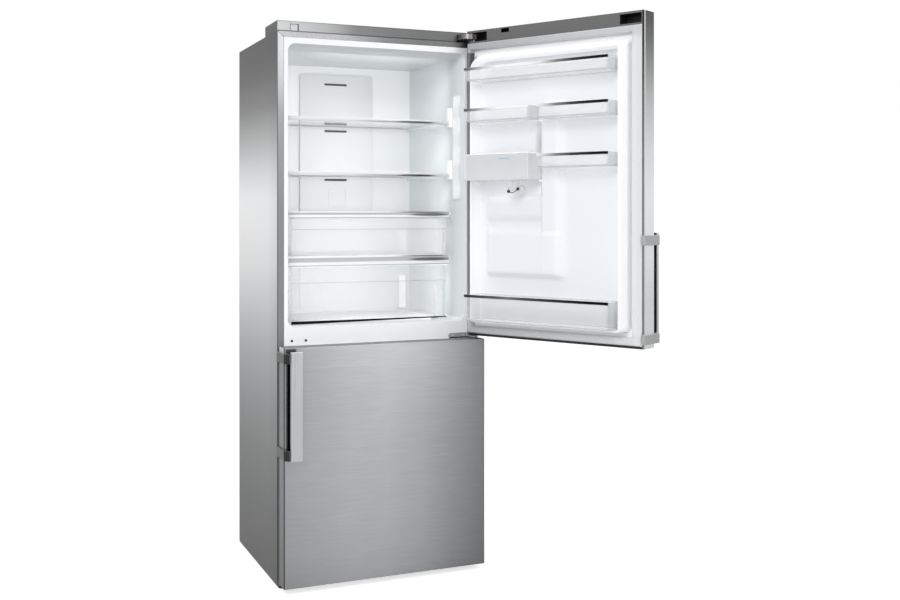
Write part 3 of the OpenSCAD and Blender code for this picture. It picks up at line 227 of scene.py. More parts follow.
# painted reflection and shade: the handles' dark mirror image and shadow on the steel, and the painted
# reflection along the shelf rails
gripShade = {"tone": 0.05, "rim": 0.003}
railRun = [(-0.285, 0.012), (-0.21, 0.02), (-0.15, 0.06), (-0.09, 0.25), (-0.03, 0.80), (0.02, 0.95),
           (0.14, 0.95), (0.19, 0.70), (0.235, 0.34), (0.285, 0.10)]
bottleRun = [(-0.285, 0.012), (-0.18, 0.02), (-0.08, 0.06), (0.03, 0.14), (0.10, 0.34), (0.15, 0.20),
             (0.22, 0.13), (0.285, 0.08)]
finishLooks = {
    # the cabinet side: painted reflection up its height, and painted dark edge lines at its front and back
    "sidePaint": {**painted, "colour": 1.0, "bands": [{"axis": 2, "stops": sideRun}, {
        "axis": 1, "stops": [(0.0, 0.10), (0.0034, 0.10), (0.0042, 0.87), (0.13, 1.0), (0.56, 1.04),
                             (0.567, 1.0), (0.5685, 0.45), (0.58, 0.45)]}]},
    "topPaint": {**painted, "colour": 0.36},
    # the front flange: painted reflection, darker towards the bottom, with painted dark lines at its edges
    "flangeSide": {**satin, "vary": 0.10, "bands": [
        {"axis": 2, "stops": [(0.0, 0.26), (1.25, 0.28), (1.45, 0.32), (1.55, 0.36), (1.66, 0.54),
                              (1.76, 0.62), (1.82, 0.64)]},
        {"axis": 0, "bothSides": True, "stops": [(0.0, 0.6), (0.3275, 0.6), (0.3292, 0.45), (0.3302, 1.0),
                                                 (0.3478, 1.0), (0.3486, 0.3), (0.351, 0.3)]}]},
    # the flange across the top: painted reflection, light at the left and dark at the right, with painted dark
    # lines at its edges
    "flangeTop": {**satin, "vary": 0.24, "grain": (160.0, 160.0, 160.0),
                  "bump": 0.4, "bands": [{"axis": 0, "stops": [
                      (-0.35, 0.54), (-0.27, 0.46), (-0.15, 0.42), (0.02, 0.175), (0.14, 0.125),
                      (0.35, 0.11)]},
                      {"axis": 2, "stops": [(1.79, 0.35), (1.7968, 0.35), (1.7978, 1.0), (1.8145, 1.0),
                                            (1.8155, 0.4), (1.82, 0.4)]}]},
    "mitreDark": {"metallic": 0.3, "rough": 0.5, "colour": 0.07, "vary": 0.1},
    "zincSheet": {"metallic": 0.7, "rough": 0.42, "colour": 0.52, "vary": 0.10, "grain": (90.0, 90.0, 90.0),
                  "cloud": 0.08, "cloudGrain": (14.0, 14.0, 14.0)},
    # the freezer door: painted reflection across and up, a painted darker oval at its upper corner on the
    # handle side, the handle's painted shade, and painted shade above the bar's top
    "freezerSteel": {
        **brushed, "bands": [{"axis": 0, "stops": doorAcross}, {"axis": 2, "stops": freezerUp}],
        "spots": [{"centre": (-0.36, -0.09, 0.80), "radii": (0.40, 0.3, 0.42), "tone": 0.80, "soft": 1.0}],
        "patches": [{**gripShade, "spans": [(0, (-0.339, -0.303)), (2, (0.440, 0.773))]},
                    {"tone": 0.30, "rim": 0.003, "spans": [(0, (-0.344, -0.312)), (2, (0.7765, 0.7865))]}]},
    # the fridge door: painted reflection across and up, and the handle's painted shade
    "fridgeSteel": {
        **brushed, "onDoor": True, "bands": [{"axis": 0, "stops": doorAcross}, {"axis": 2, "stops": fridgeUp}],
        "patches": [{**gripShade, "spans": [(0, (-0.339, -0.303)), (2, (0.818, 1.157))]}]},
    # the fridge door's sides: painted reflection up their height, and painted dark lines at their front and
    # back edges
    "fridgeEdge": {**doorEdge, "vary": 0.02, "onDoor": True, "bands": [
        {"axis": 2, "stops": doorEdgeRun},
        {"axis": 1, "stops": [(-0.09, 0.55), (-0.0865, 0.55), (-0.0845, 1.0), (-0.026, 1.0), (-0.0245, 0.3),
                              (-0.02, 0.3)]}]},
    # the freezer door's sides: painted reflection, a painted highlight above the handle's top bracket, and
    # painted dark lines at their front and back edges
    "freezerEdge": {**doorEdge, "vary": 0.03, "bands": [
        {"axis": 2, "stops": [(0.0, 0.17), (0.25, 0.22), (0.5, 0.30), (0.772, 0.36), (0.775, 0.85),
                              (0.80, 0.85)]},
        {"axis": 1, "stops": [(-0.09, 0.16), (-0.083, 0.16), (-0.080, 1.0), (-0.030, 1.0), (-0.026, 0.3),
                              (-0.02, 0.3)]}]},
    # the handle bars: a painted sheen, lighter towards the top
    "satinBar": {"metallic": 1.0, "rough": 0.3, "colour": 0.55, "vary": 0.03, "grain": (500.0, 500.0, 8.0),
                 "bands": [{"axis": 2, "stops": [(0.43, 0.96), (0.60, 1.02), (0.782, 1.14), (1.2, 1.14)]}]},
    # the bars' backs: black, partly their own dark back and partly painted shade behind the bars
    "barBack": {"rough": 0.5, "colour": 0.010, "vary": 0.1},
    # the freezer's handle brackets: a darkened copy of the fridge's brackets, painted shade
    "shadedBracket": {"metallic": 0.7, "rough": 0.4, "colour": 0.17, "vary": 0.10,
                    "grain": (380.0, 380.0, 380.0)},
    "bracketLight": {"metallic": 0.7, "rough": 0.4, "colour": 0.46, "vary": 0.10,
                     "grain": (300.0, 300.0, 300.0)},
    "capGrey": {"rough": 0.42, "colour": 0.125, "vary": 0.04},
    # painted shade in the notch of the fridge door's upper cap
    "capNotchShade": {"rough": 0.5, "colour": 0.10, "vary": 0.1},
    "bracketShade": {"metallic": 0.4, "rough": 0.5, "colour": 0.02, "vary": 0.1},
    # near-black, for the painted shade strip under the lower crisper
    "footShadeBlack": {"rough": 0.7, "colour": 0.004, "vary": 0.2, "specular": 0.1},
    # a painted highlight along the inner edge of the fridge door's side
    "edgeGleam": {"metallic": 0.6, "rough": 0.3, "colour": 1.0, "vary": 0.02, "onDoor": True, "bands": [{
        "axis": 2, "stops": [(0.80, 0.9), (1.3, 0.86), (1.55, 0.72), (1.70, 0.80), (1.80, 0.82),
                             (1.85, 0.80)]}]},
    # black plastic, and also painted shade in the fridge door caps' pockets
    "capBlackAndShade": {"rough": 0.5, "colour": 0.012, "vary": 0.1},
    # the top cap's front: painted reflection, light at the left and dark at the right, with painted dark lines
    # at its edges
    "capSilver": {"metallic": 0.5, "rough": 0.36, "colour": 1.0, "vary": 0.03, "grain": (600.0, 600.0, 600.0),
                  "bands": [{"axis": 0, "stops": [(-0.35, 0.52), (-0.26, 0.43), (-0.17, 0.33),
                                                  (-0.08, 0.165), (0.06, 0.118), (0.16, 0.10),
                                                  (0.35, 0.092)]},
                            {"axis": 2, "stops": [(1.81, 0.3), (1.8182, 0.3), (1.8195, 1.0), (1.8465, 1.0),
                                                  (1.8485, 0.6), (1.851, 0.6)]}]},
    "plugSilver": {"metallic": 0.5, "rough": 0.36, "colour": 0.50, "vary": 0.03, "bands": [
        {"axis": 0, "stops": [(-0.309, 0.2), (-0.3064, 0.2), (-0.3056, 1.0), (-0.2834, 1.0), (-0.2826, 0.2),
                              (-0.27, 0.2)]},
        {"axis": 2, "stops": [(1.80, 0.3), (1.8175, 0.3), (1.8185, 1.0), (1.838, 1.0), (1.839, 0.3),
                              (1.85, 0.3)]}]},
    "capTop": {"metallic": 0.4, "rough": 0.4, "colour": 0.40, "vary": 0.04},
    # the top cap's ends: painted near-black shade, with darker lines at their edges
    "capSide": {"rough": 0.42, "colour": 0.024, "vary": 0.08, "bands": [{
        "axis": 1, "stops": [(0.0, 0.15), (0.004, 0.15), (0.006, 1.0), (0.16, 1.0), (0.163, 0.4),
                             (0.17, 0.4)]}]},
    "blackPlastic": {"rough": 0.45, "colour": 0.016, "vary": 0.2},
    "hingeSteel": {"metallic": 0.8, "rough": 0.35, "colour": 0.20, "vary": 0.08,
                   "grain": (300.0, 300.0, 300.0)},
    "hingeLight": {"metallic": 0.7, "rough": 0.38, "colour": 0.50, "vary": 0.06,
                   "grain": (300.0, 300.0, 300.0)},
    "hingeDark": {"metallic": 0.4, "rough": 0.45, "colour": 0.02, "vary": 0.1},
    "screwBright": {"metallic": 0.9, "rough": 0.2, "colour": 0.85, "vary": 0.04},
    "whiteLiner": {**moulded, "colour": 0.93},
    # the liner's front lip and the mullion: painted shade, darker towards the top
    "linerLip": {**moulded, "colour": 0.98, "bands": [{
        "axis": 2, "stops": [(0.80, 1.0), (1.0, 0.97), (1.3, 0.92), (1.6, 0.86), (1.81, 0.81)]}]},
    # the right inner wall: painted grey-blue shade, lighter near the front
    "linerRightShade": {**moulded, "colour": (0.75, 0.775, 0.78), "bands": [{
        "axis": 1, "stops": [(0.0, 1.12), (0.06, 1.08), (0.10, 1.0), (0.50, 1.0)]}]},
    # painted light: a glow on the left inner wall and the upper back wall
    "linerGlow": {**moulded, "colour": 0.93, "glow": 0.12},
    # the ceiling inside: painted grey shade
    "linerCeilingShade": {**moulded, "colour": (0.71, 0.73, 0.735)},
    # white, with a faint painted glow
    "doorWhite": {**moulded, "colour": 0.96, "onDoor": True, "glow": 0.07},
    # the door panel: a faint painted glow, a painted shade left of the rib, and painted light ovals that lift
    # the bins' shadows
    "panelWhite": {**moulded, "colour": 0.87, "onDoor": True, "glow": 0.06, "spots": [
        {"centre": (0.036, 0.0, 1.45), "radii": (0.022, 0.3, 0.10), "tone": 0.60, "soft": 0.9},
        {"centre": (0.0, 0.0, 1.652), "radii": (0.34, 0.3, 0.060), "tone": 1.12, "soft": 0.8},
        {"centre": (-0.16, 0.0, 1.355), "radii": (0.17, 0.3, 0.050), "tone": 1.10, "soft": 0.8},
        {"centre": (0.16, 0.0, 1.300), "radii": (0.15, 0.3, 0.050), "tone": 1.22, "soft": 0.8}]},
    # painted light: a glow on the rim's underside at the top
    "doorCeiling": {"rough": 0.3, "colour": 0.96, "vary": 0.006, "onDoor": True, "glow": 0.22},
    # a painted shade line under the crisper's lip
    "lipShadeLine": {"rough": 0.3, "colour": (0.52, 0.54, 0.55), "vary": 0.02, "alpha": 0.55},
    "whiteTrim": {"rough": 0.3, "colour": 0.84, "vary": 0.008},
    "ductWhite": {"rough": 0.34, "colour": 0.86, "vary": 0.008},
    "slotShade": {"rough": 0.6, "colour": 0.10, "vary": 0.15},
    # the fridge door's gasket: painted shade, darker towards the hinge side and the top, with painted dark
    # bands along its hinge side
    "gasketGrey": {"rough": 0.5, "colour": (0.84, 0.85, 0.85), "vary": 0.02, "onDoor": True, "bands": [
        {"axis": 0, "stops": [(-0.35, 0.88), (-0.15, 0.82), (0.05, 0.74), (0.2, 0.67), (0.35, 0.61)]},
        {"axis": 2, "stops": [(0.80, 1.03), (0.838, 0.99), (0.85, 1.03), (1.3, 0.98), (1.76, 0.90),
                              (1.78, 0.73), (1.81, 0.73)]}],
        "patches": [{"tone": 0.16, "rim": 0.001, "spans": [(0, (0.331, 0.3415)), (2, (0.864, 1.770))]},
                    {"tone": 0.36, "rim": 0.001, "spans": [(0, (0.3225, 0.330)), (2, (0.864, 1.770))]},
                    {"tone": 0.13, "rim": 0.001, "spans": [(0, (0.3015, 0.3215)), (2, (0.864, 1.770))]}]},
    "freezerGasket": {"rough": 0.5, "colour": (0.62, 0.63, 0.63), "vary": 0.02},
    "clearWall": {"rough": 0.12, "colour": (0.93, 0.95, 0.95), "vary": 0.01, "alpha": 0.17},
    "clearFloor": {"rough": 0.2, "colour": (0.92, 0.94, 0.94), "vary": 0.01, "alpha": 0.15},
    # painted shade at the trays' free ends
    "clearEndShade": {"rough": 0.2, "colour": (0.60, 0.62, 0.63), "vary": 0.01, "alpha": 0.36},
    "clearEdge": {"rough": 0.15, "colour": (0.93, 0.94, 0.94), "vary": 0.01, "alpha": 0.92},
    "edgeShade": {"rough": 0.3, "colour": (0.56, 0.58, 0.59), "vary": 0.02, "alpha": 0.55},
    "tankPlastic": {"rough": 0.25, "colour": (0.97, 0.985, 0.99), "vary": 0.01, "alpha": 0.40},
    "tapClear": {"rough": 0.2, "colour": (0.84, 0.86, 0.87), "vary": 0.02, "alpha": 0.45},
    # painted light: a glow on the shelf clips
    "clipWhite": {"rough": 0.3, "colour": 0.96, "vary": 0.01, "glow": 0.15},
    "tankSide": {"rough": 0.25, "colour": (0.93, 0.95, 0.96), "vary": 0.01, "alpha": 0.34},
    # a painted reflection band on the crisper fronts
    "crisperGleam": {"rough": 0.12, "colour": (0.95, 0.96, 0.96), "vary": 0.01, "alpha": 0.82},
    "crisperClear": {"rough": 0.14, "colour": (0.90, 0.92, 0.92), "vary": 0.01, "alpha": 0.24},
    # a lit copy of crisperClear for the upper crisper: brighter, with a faint painted glow
    "crisperClearLit": {"rough": 0.14, "colour": (0.98, 0.99, 0.99), "vary": 0.01, "alpha": 0.30, "glow": 0.02},
    "frostDrawer": {"rough": 0.22, "colour": (0.86, 0.89, 0.91), "vary": 0.01, "alpha": 0.6},
    "shelfGlass": {"rough": 0.06, "colour": (0.70, 0.74, 0.74), "vary": 0.01, "alpha": 0.42, "coat": 0.3},
    "railChrome": {**chrome, "bands": [{"axis": 0, "stops": railRun}]},
    "bottleChrome": {**chrome, "bands": [{"axis": 0, "stops": bottleRun}]},
    "waterBlue": {"rough": 0.3, "colour": (0.22, 0.55, 0.80), "vary": 0.04},
    "motorGrey": {"rough": 0.5, "colour": 0.15, "vary": 0.08},
    "blackEnamel": {"rough": 0.25, "colour": 0.02, "vary": 0.2, "coat": 0.3,
                    "grain": (300.0, 300.0, 300.0)},
    "finAluminium": {"metallic": 1.0, "rough": 0.35, "colour": 0.66, "vary": 0.08,
                     "grain": (8.0, 8.0, 500.0)},
    "foamYellow": {"rough": 0.9, "colour": (0.72, 0.62, 0.36), "vary": 0.2, "grain": (160.0, 160.0, 160.0),
                   "depth": 0.0006},
    # the doors' foam: painted near-black shade where it shows in the seams
    "foamShade": {"rough": 0.8, "colour": (0.05, 0.048, 0.045), "vary": 0.2, "grain": (160.0, 160.0, 160.0)},
    "darkGloss": {"rough": 0.2, "colour": 0.035, "vary": 0.08, "coat": 0.3},
    "lampDiffuser": {"rough": 0.4, "colour": (0.92, 0.94, 0.95), "vary": 0.01, "glow": 0.16, "bands": [{
        "axis": 1, "stops": [(0.03, 0.80), (0.037, 0.82), (0.045, 1.0), (0.078, 1.0), (0.087, 0.82),
                             (0.095, 0.80)]}, {
        "axis": 2, "stops": [(1.27, 0.80), (1.285, 0.97), (1.315, 1.0), (1.345, 0.86), (1.385, 0.84),
                             (1.405, 0.97), (1.445, 1.0), (1.465, 0.88), (1.495, 0.88), (1.515, 1.0),
                             (1.548, 1.0), (1.562, 0.86), (1.59, 0.88), (1.605, 1.0), (1.63, 1.0),
                             (1.637, 0.75)]}]},
}


# front edges of the glass shelves and crisper covers: bands of painted highlight and shade down from the top,
# in millimetres, and painted dark reflections near the right end
def edgeLook(top, bands, darkReflections):
    low = top - bands[-1][0] * mm
    stops = [(top - depth * mm, tone) for depth, tone in reversed(bands)]
    return {"rough": 0.2, "colour": 1.0, "vary": 0.01, "coat": 0.2, "bands": [{"axis": 2, "stops": stops}],
            "spots": [{"centre": (x, 0.088, top - drop * mm), "radii": (reach, 0.03, tall * mm),
                       "tone": tone, "soft": soft} for x, drop, reach, tall, tone, soft in darkReflections]}


shelfBands = [(0.0, 0.95), (2.2, 0.95), (2.8, 0.74), (9.5, 0.76), (10.0, 0.62), (13.5, 0.66), (14.6, 0.66)]
shelfDarkReflections = [(0.165, 10.0, 0.085, 4.8, 0.08, 0.35), (0.09, 10.5, 0.19, 4.0, 0.42, 0.7)]
finishLooks["upperShelfEdge"] = edgeLook(1.550, shelfBands, shelfDarkReflections)
finishLooks["lowerShelfEdge"] = edgeLook(1.364, shelfBands, shelfDarkReflections)
coverDarkReflections = [(0.19, 3.0, 0.13, 3.4, 0.14, 0.5), (0.215, 12.5, 0.09, 6.5, 0.25, 0.4)]
finishLooks["upperCoverEdge"] = edgeLook(
    1.229, [(0.0, 0.95), (4.5, 0.95), (5.2, 0.45), (13.0, 0.52), (13.8, 0.92), (20.5, 0.92), (21.0, 0.5),
            (22.6, 0.5)], coverDarkReflections)
finishLooks["lowerCoverEdge"] = edgeLook(
    1.0785, [(0.0, 0.95), (8.0, 0.95), (8.8, 0.48), (22.5, 0.54), (23.5, 0.92), (33.0, 0.92), (33.5, 0.5),
             (36.6, 0.5)], [(0.20, 6.0, 0.13, 3.0, 0.16, 0.5), (0.215, 18.0, 0.09, 7.0, 0.25, 0.4)])
finishes = {name: makeFinish(name, look) for name, look in finishLooks.items()}
print("finishes made,", len(finishes))


# softened copies of the frame's nodes
def faceSpan(face, edge):
    return face.calc_area() / max(edge.calc_length(), 1e-6)


def bevelled(bm, edges, radius, segments):
    if edges:
        bmesh.ops.bevel(bm, geom=edges, offset=radius, segments=segments, profile=0.5, affect="EDGES",
                        clamp_overlap=True, material=-1)


def roundEdges(bm, radius, segments, sharp=25.0, room=2.3):
    bevelled(bm, [e for e in bm.edges if len(e.link_faces) == 2 and e.calc_length() > radius
                  and math.degrees(e.calc_face_angle(0.0)) > sharp
                  and min(faceSpan(f, e) for f in e.link_faces) > radius * room], radius, segments)


def splitAt(bm, point, normal):
    bmesh.ops.bisect_plane(bm, geom=bm.verts[:] + bm.edges[:] + bm.faces[:], dist=1e-6,
                           plane_co=Vector(point) * mm, plane_no=normal)


def settle(bm, settings, turn):
    paint = settings.get("paint")
    bm.normal_update()
    for face in bm.faces:
        face.material_index = paint(face.calc_center_median() / mm, face.normal) if paint else 0
        face.smooth = True
    bm.transform(turn)
    mesh = bpy.data.meshes.new(settings["name"])
    bm.to_mesh(mesh)
    bm.free()
    mesh.set_sharp_from_angle(angle=math.radians(settings.get("sharp", 38)))
    for key in settings["finishes"]:
        mesh.materials.append(finishes[key])
    piece = bpy.data.objects.new(settings["name"], mesh)
    bpy.context.scene.collection.objects.link(piece)
    modifier = piece.modifiers.new("flatFaces", "WEIGHTED_NORMAL")
    modifier.keep_sharp = True
    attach(piece, settings["body"])
    if settings.get("replaces"):
        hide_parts(*settings["replaces"])
    return piece


def softened(settings):
    node = nodes[settings["node"]]
    turn = swing if settings.get("onDoor") else still
    bm = bmesh.new()
    bm.from_mesh(node.data)
    bm.transform(turn.inverted())
    bmesh.ops.remove_doubles(bm, verts=bm.verts, dist=2e-6)
    bmesh.ops.dissolve_limit(bm, angle_limit=math.radians(0.4), verts=bm.verts, edges=bm.edges,
                             use_dissolve_boundaries=False, delimit=set())
    if settings.get("shape"):
        settings["shape"](bm)
    for radius, segments in settings.get("rounds", []):
        roundEdges(bm, radius * mm, segments)
    for point, normal in settings.get("split", []):
        splitAt(bm, point, normal)
    return settle(bm, {**settings, "body": node["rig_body"], "replaces": [settings["node"]]}, turn)


def boxStart(spans):
    bm = bmesh.new()
    bmesh.ops.create_cube(bm, size=1.0)
    low, high = [Vector([s[i] for s in spans]) * mm for i in (0, 1)]
    bmesh.ops.scale(bm, vec=high - low, verts=bm.verts)
    bmesh.ops.translate(bm, vec=(low + high) / 2, verts=bm.verts)
    return bm


def edgesAlong(bm, axis):
    return [e for e in bm.edges if abs((e.verts[1].co - e.verts[0].co).normalized()[axis]) > 0.99]


# cabinet
def flangePaint(at, facing):
    if facing.z > 0.7 and at.z > 1800:
        return 3
    if facing.y > -0.7 or at.y > 1.0:
        return 0
    if at.z > 1790 and abs(at.x) < 350 - (1817 - at.z):
        return 2
    return 1


cabinetSheet = {"name": "cabinetSheet", "node": "cabinet_shell", "slot": "cabinet_steel",
                "rounds": [(0.5, 2)], "split": [((-350, 0, 1817), (1, 0, 1)), ((350, 0, 1817), (-1, 0, 1))],
                "finishes": ["sidePaint", "flangeSide", "flangeTop", "topPaint"], "paint": flangePaint}
softened(cabinetSheet)

# dark lines where the flange's corners meet
mitreLine = {"slot": "cabinet_steel", "body": "cabinet", "finishes": ["mitreDark"], "length": 29.5,
             "width": 1.5, "proud": 0.25, "x": 339.2, "z": 1806.2}


def mitre(side):
    half = (mitreLine["length"] / 2, mitreLine["width"] / 2)
    bm = boxStart([(-half[0], half[0]), (-mitreLine["proud"], 0.4), (-half[1], half[1])])
    bevelled(bm, bm.edges[:], 0.1 * mm, 1)
    bm.transform(Matrix.Translation((side * mitreLine["x"] * mm, 0.0, mitreLine["z"] * mm)) @
                 Matrix.Rotation(math.radians(45 * -side), 4, "Y"))
    settle(bm, {**mitreLine, "name": "mitreLine" + ("Left" if side < 0 else "Right")}, still)


mitre(-1)
mitre(1)


# faces of the fridge liner: 1 front lip, 2 right wall with painted shade, 3 ceiling with painted shade, 4 left
# wall and upper back wall with painted glow
def liningPaint(at, facing):
    if facing.y < -0.7 and at.y < 6:
        return 1
    if at.y > -10 and facing.x < -0.6 and at.x > 250:
        return 2
    if at.y > -10 and facing.x > 0.6 and at.x < -250 or facing.y < -0.7 and at.y > 300 and at.z > 1560:
        return 4
    return 3 if facing.z < -0.7 and at.z > 1700 else 0


fridgeLining = {"name": "fridgeLining", "node": "fridge_liner", "slot": "white_liner",
                "rounds": [(5.0, 4), (1.0, 2)], "split": [((0, 0, 1560), (0, 0, 1))],
                "finishes": ["whiteLiner", "linerLip", "linerRightShade", "linerCeilingShade", "linerGlow"],
                "paint": liningPaint}
softened(fridgeLining)


def hingePaint(at, facing):
    if at.y < -4.2 and at.x < 315:  # the screws and their rims
        return 2 if at.y < -5.2 else 1
    return 1 if at.z < 793.0 or at.x < 258.5 and at.z < 799 or at.z > 799 and at.y < -20 else 0


middleHinge = {"name": "middleHinge", "node": "middle_hinge", "slot": "hinge_steel", "rounds": [(1.2, 3)],
               "split": [((0, 0, 793.0), (0, 0, 1)), ((258.5, 0, 0), (1, 0, 0))],
               "finishes": ["hingeLight", "hingeDark", "screwBright"], "paint": hingePaint}
softened(middleHinge)
topCapPiece = {"name": "topCapPiece", "node": "top_cap", "slot": "grey_plastic", "rounds": [(1.0, 2)],
               "finishes": ["capSilver", "capSide", "capTop"],
               "paint": lambda at, facing: 2 if facing.z > 0.7 else 1 if abs(facing.x) > 0.7 else 0}
softened(topCapPiece)
plugPieces = {"name": "plugPieces", "node": "hole_plugs", "slot": "grey_plastic", "rounds": [(0.4, 2)],
              "finishes": ["plugSilver", "capBlackAndShade"], "paint": lambda at, facing: 0 if at.z > 1700 else 1}
softened(plugPieces)
ductPanel = {"name": "ductPanel", "node": "duct_cover", "slot": "white_trim", "rounds": [(0.9, 3)],
             "finishes": ["ductWhite"]}
softened(ductPanel)

# dark insets behind the air slots, painted shade standing in for the dark inside them as seen through them
slotShadeInset = {"slot": "grey_plastic", "body": "cabinet", "finishes": ["slotShade"], "x": (-50.0, 42.0),
             "y": (493.2, 495.0), "half": 4.5, "levels": [1704.0, 1556.0, 1529.0, 1368.0, 1346.0]}
for count, level in enumerate(slotShadeInset["levels"]):
    bm = boxStart([slotShadeInset["x"], slotShadeInset["y"], (level - slotShadeInset["half"], level + slotShadeInset["half"])])
    bevelled(bm, edgesAlong(bm, 1), 3.5 * mm, 3)
    settle(bm, {**slotShadeInset, "name": "slotShadeInset%d" % (count + 1)}, still)
print("cabinet pieces made")


# glass shelf trims
def frontEdge(at, facing):
    return 1 if facing.y < -0.7 and at.y < 92 else 0


for node, key in (("shelf_upper_trim", "upperShelfEdge"), ("shelf_lower_trim", "lowerShelfEdge")):
    softened({"name": node.replace("_trim", "Edge").replace("_", ""), "node": node, "slot": "white_trim",
              "rounds": [(0.6, 2)], "finishes": ["whiteTrim", key], "paint": frontEdge})
coverTrim = {"name": "crisperCoverEdges", "node": "crisper_cover_trim", "slot": "white_trim",
             "rounds": [(0.8, 2)], "finishes": ["whiteTrim", "upperCoverEdge", "lowerCoverEdge"],
             "paint": lambda at, facing: 0 if not frontEdge(at, facing) else 1 if at.z > 1150 else 2}
softened(coverTrim)


# clear crispers and trays: 0 wall, 1 floor, 2 upper edge, 3 edge with painted shade, 4 a painted reflection
# band (painted shade at the trays' free ends), 5 painted shade line under the lip
gleam = (241, 266)


def clearPaint(low, high, lipLow=None):
    def paint(at, facing):
        if at.z > high - 1.0 and facing.z > 0.7:
            return 2
        if lipLow and abs(at.z - lipLow) < 0.9 and at.y < 96 and facing.y < 0.5:
            return 5 if at.x < gleam[0] else 3
        if -0.92 < facing.z < -0.25 and at.z < low + 8:
            return 3
        if facing.z < -0.7 or (facing.z > 0.7 and at.z < low + 20):
            return 1
        if lipLow and facing.y < -0.7 and at.z < lipLow and gleam[0] < at.x < gleam[1]:
            return 4
        return 0
    return paint


for node, low, high, lipTall, clear in (("crisper_upper", 1076.8, 1202.5, 36, "crisperClearLit"),
                                        ("crisper_lower", 857.0, 1039.5, 54, "crisperClear")):
    lip = high - lipTall
    softened({"name": node.replace("_u", "U").replace("_l", "L"), "node": node, "slot": "clear_plastic",
              "rounds": [(3.0, 3), (0.7, 2)],
              "split": [((gleam[0], 0, 0), (1, 0, 0)), ((gleam[1], 0, 0), (1, 0, 0)),
                        ((0, 0, lip - 0.9), (0, 0, 1)), ((0, 0, lip + 0.9), (0, 0, 1))],
              "finishes": [clear, "clearFloor", "clearEdge", "edgeShade", "crisperGleam", "lipShadeLine"],
              "paint": clearPaint(low, high, lip)})
# black strip along the foot of the lower crisper, thinner at its right end: painted shade, standing in for the
# dark gap under the crisper
crisperFootShade = {"name": "crisperFootStrip", "slot": "black_plastic", "body": "lower_crisper",
               "finishes": ["footShadeBlack"], "spans": [(-280, 280), (88.6, 92.5), (847.4, 857.4)], "rise": 6.6}
bm = boxStart(crisperFootShade["spans"])
for vert in bm.verts:
    if vert.co.x > 0 and vert.co.z < 0.853:
        vert.co.z += crisperFootShade["rise"] * mm
bevelled(bm, bm.edges[:], 0.5 * mm, 2)
settle(bm, crisperFootShade, still)
print("shelves and crispers made")

# doors
# the fridge skin's front and sides take painted reflection, and a strip along its side's inner edge a painted
# highlight
fridgeSkin = {"name": "fridgeSkin", "node": "fridge_door_skin", "slot": "door_steel", "onDoor": True,
              "rounds": [(0.4, 2)], "finishes": ["fridgeSteel", "fridgeEdge", "edgeGleam"],
              "split": [((0, -26.2, 0), (0, 1, 0)), ((0, -31.5, 0), (0, 1, 0))],
              "paint": lambda at, facing: 2 if facing.x < -0.5 and -31.5 < at.y < -26.2 else
              1 if abs(facing.x) > 0.5 or facing.y > 0.5 else 0}
softened(fridgeSkin)
freezerSkin = {"name": "freezerSkin", "node": "freezer_door_skin", "slot": "door_steel",
               "rounds": [(0.4, 2)], "finishes": ["freezerSteel", "freezerEdge"],
               "paint": lambda at, facing: 1 if abs(facing.x) > 0.5 or facing.y > 0.5 else 0}
softened(freezerSkin)


# the door liner's flange, kept from its node
fridgeInner = {"name": "fridgeInner", "node": "fridge_door_liner", "slot": "white_liner", "onDoor": True,
               "shape": lambda bm: bmesh.ops.delete(bm, context="FACES", geom=[
                   f for f in bm.faces if f.calc_center_median().y > -0.0215]), "finishes": ["doorWhite"]}
softened(fridgeInner)

# its raised rim: a box opened by an inset, slanting on the hinge side, its upper hinge corner the roundest
rimShape = {"name": "doorRim", "slot": "white_liner", "body": "fridge_door",
            "finishes": ["doorWhite", "doorCeiling"], "foot": (-307.0, 307.0, 852.0, 1768.0),
            "crest": (-302.0, 293.0, 854.0, 1746.0), "width": 12.0, "sill": 4.0, "hingeLip": 4.0,
            "topLip": 6.5, "depth": 48.0, "draft": 4.0, "hingeCorner": 42.0, "corner": 14.0, "soft": 4.0,
            "paint": lambda at, facing: 1 if facing.z < -0.6 and at.z > 1700 and abs(at.x) < 290 else 0}
foot, crest = rimShape["foot"], rimShape["crest"]
bm = boxStart([foot[:2], (-24.0, 34.0), foot[2:]])
for vert in bm.verts:
    if vert.co.y > 0:
        vert.co.x = (crest[0] if vert.co.x < 0 else crest[1]) * mm
        vert.co.z = (crest[2] if vert.co.z < 1.3 else crest[3]) * mm
deepEdges = [e for e in bm.edges if abs(e.verts[1].co.y - e.verts[0].co.y) > 0.05]
hingeTop = [e for e in deepEdges if e.verts[0].co.x > 0 and e.verts[0].co.z > 1.3]
bevelled(bm, hingeTop, rimShape["hingeCorner"] * mm, 10)
bevelled(bm, [e for e in deepEdges if e.is_valid and e not in hingeTop], rimShape["corner"] * mm, 5)
bm.normal_update()
bmesh.ops.delete(bm, geom=[f for f in bm.faces if f.normal.y < -0.99], context="FACES_ONLY")
mouth = [f for f in bm.faces if f.normal.y > 0.99]
bmesh.ops.inset_region(bm, faces=mouth, thickness=rimShape["width"] * mm, use_even_offset=True)
for vert in mouth[0].verts:
    if vert.co.z < 0.9:
        vert.co.z -= (rimShape["width"] - rimShape["sill"]) * mm
    elif vert.co.z > 1.7:
        vert.co.z += (rimShape["width"] - rimShape["topLip"]) * min(1.0, (vert.co.z - 1.7) / 0.03) * mm
    if vert.co.x > 0.2:
        vert.co.x += (rimShape["width"] - rimShape["hingeLip"]) * min(1.0, (vert.co.x - 0.2) / 0.07) * mm
sunk = bmesh.ops.extrude_face_region(bm, geom=mouth)["geom"]
sunkVerts = [v for v in sunk if isinstance(v, bmesh.types.BMVert)]
for vert in sunkVerts:
    vert.co.y -= rimShape["depth"] * mm
    vert.co.x -= math.copysign(rimShape["draft"], vert.co.x) * mm
    vert.co.z -= math.copysign(rimShape["draft"], vert.co.z - 1.3) * mm
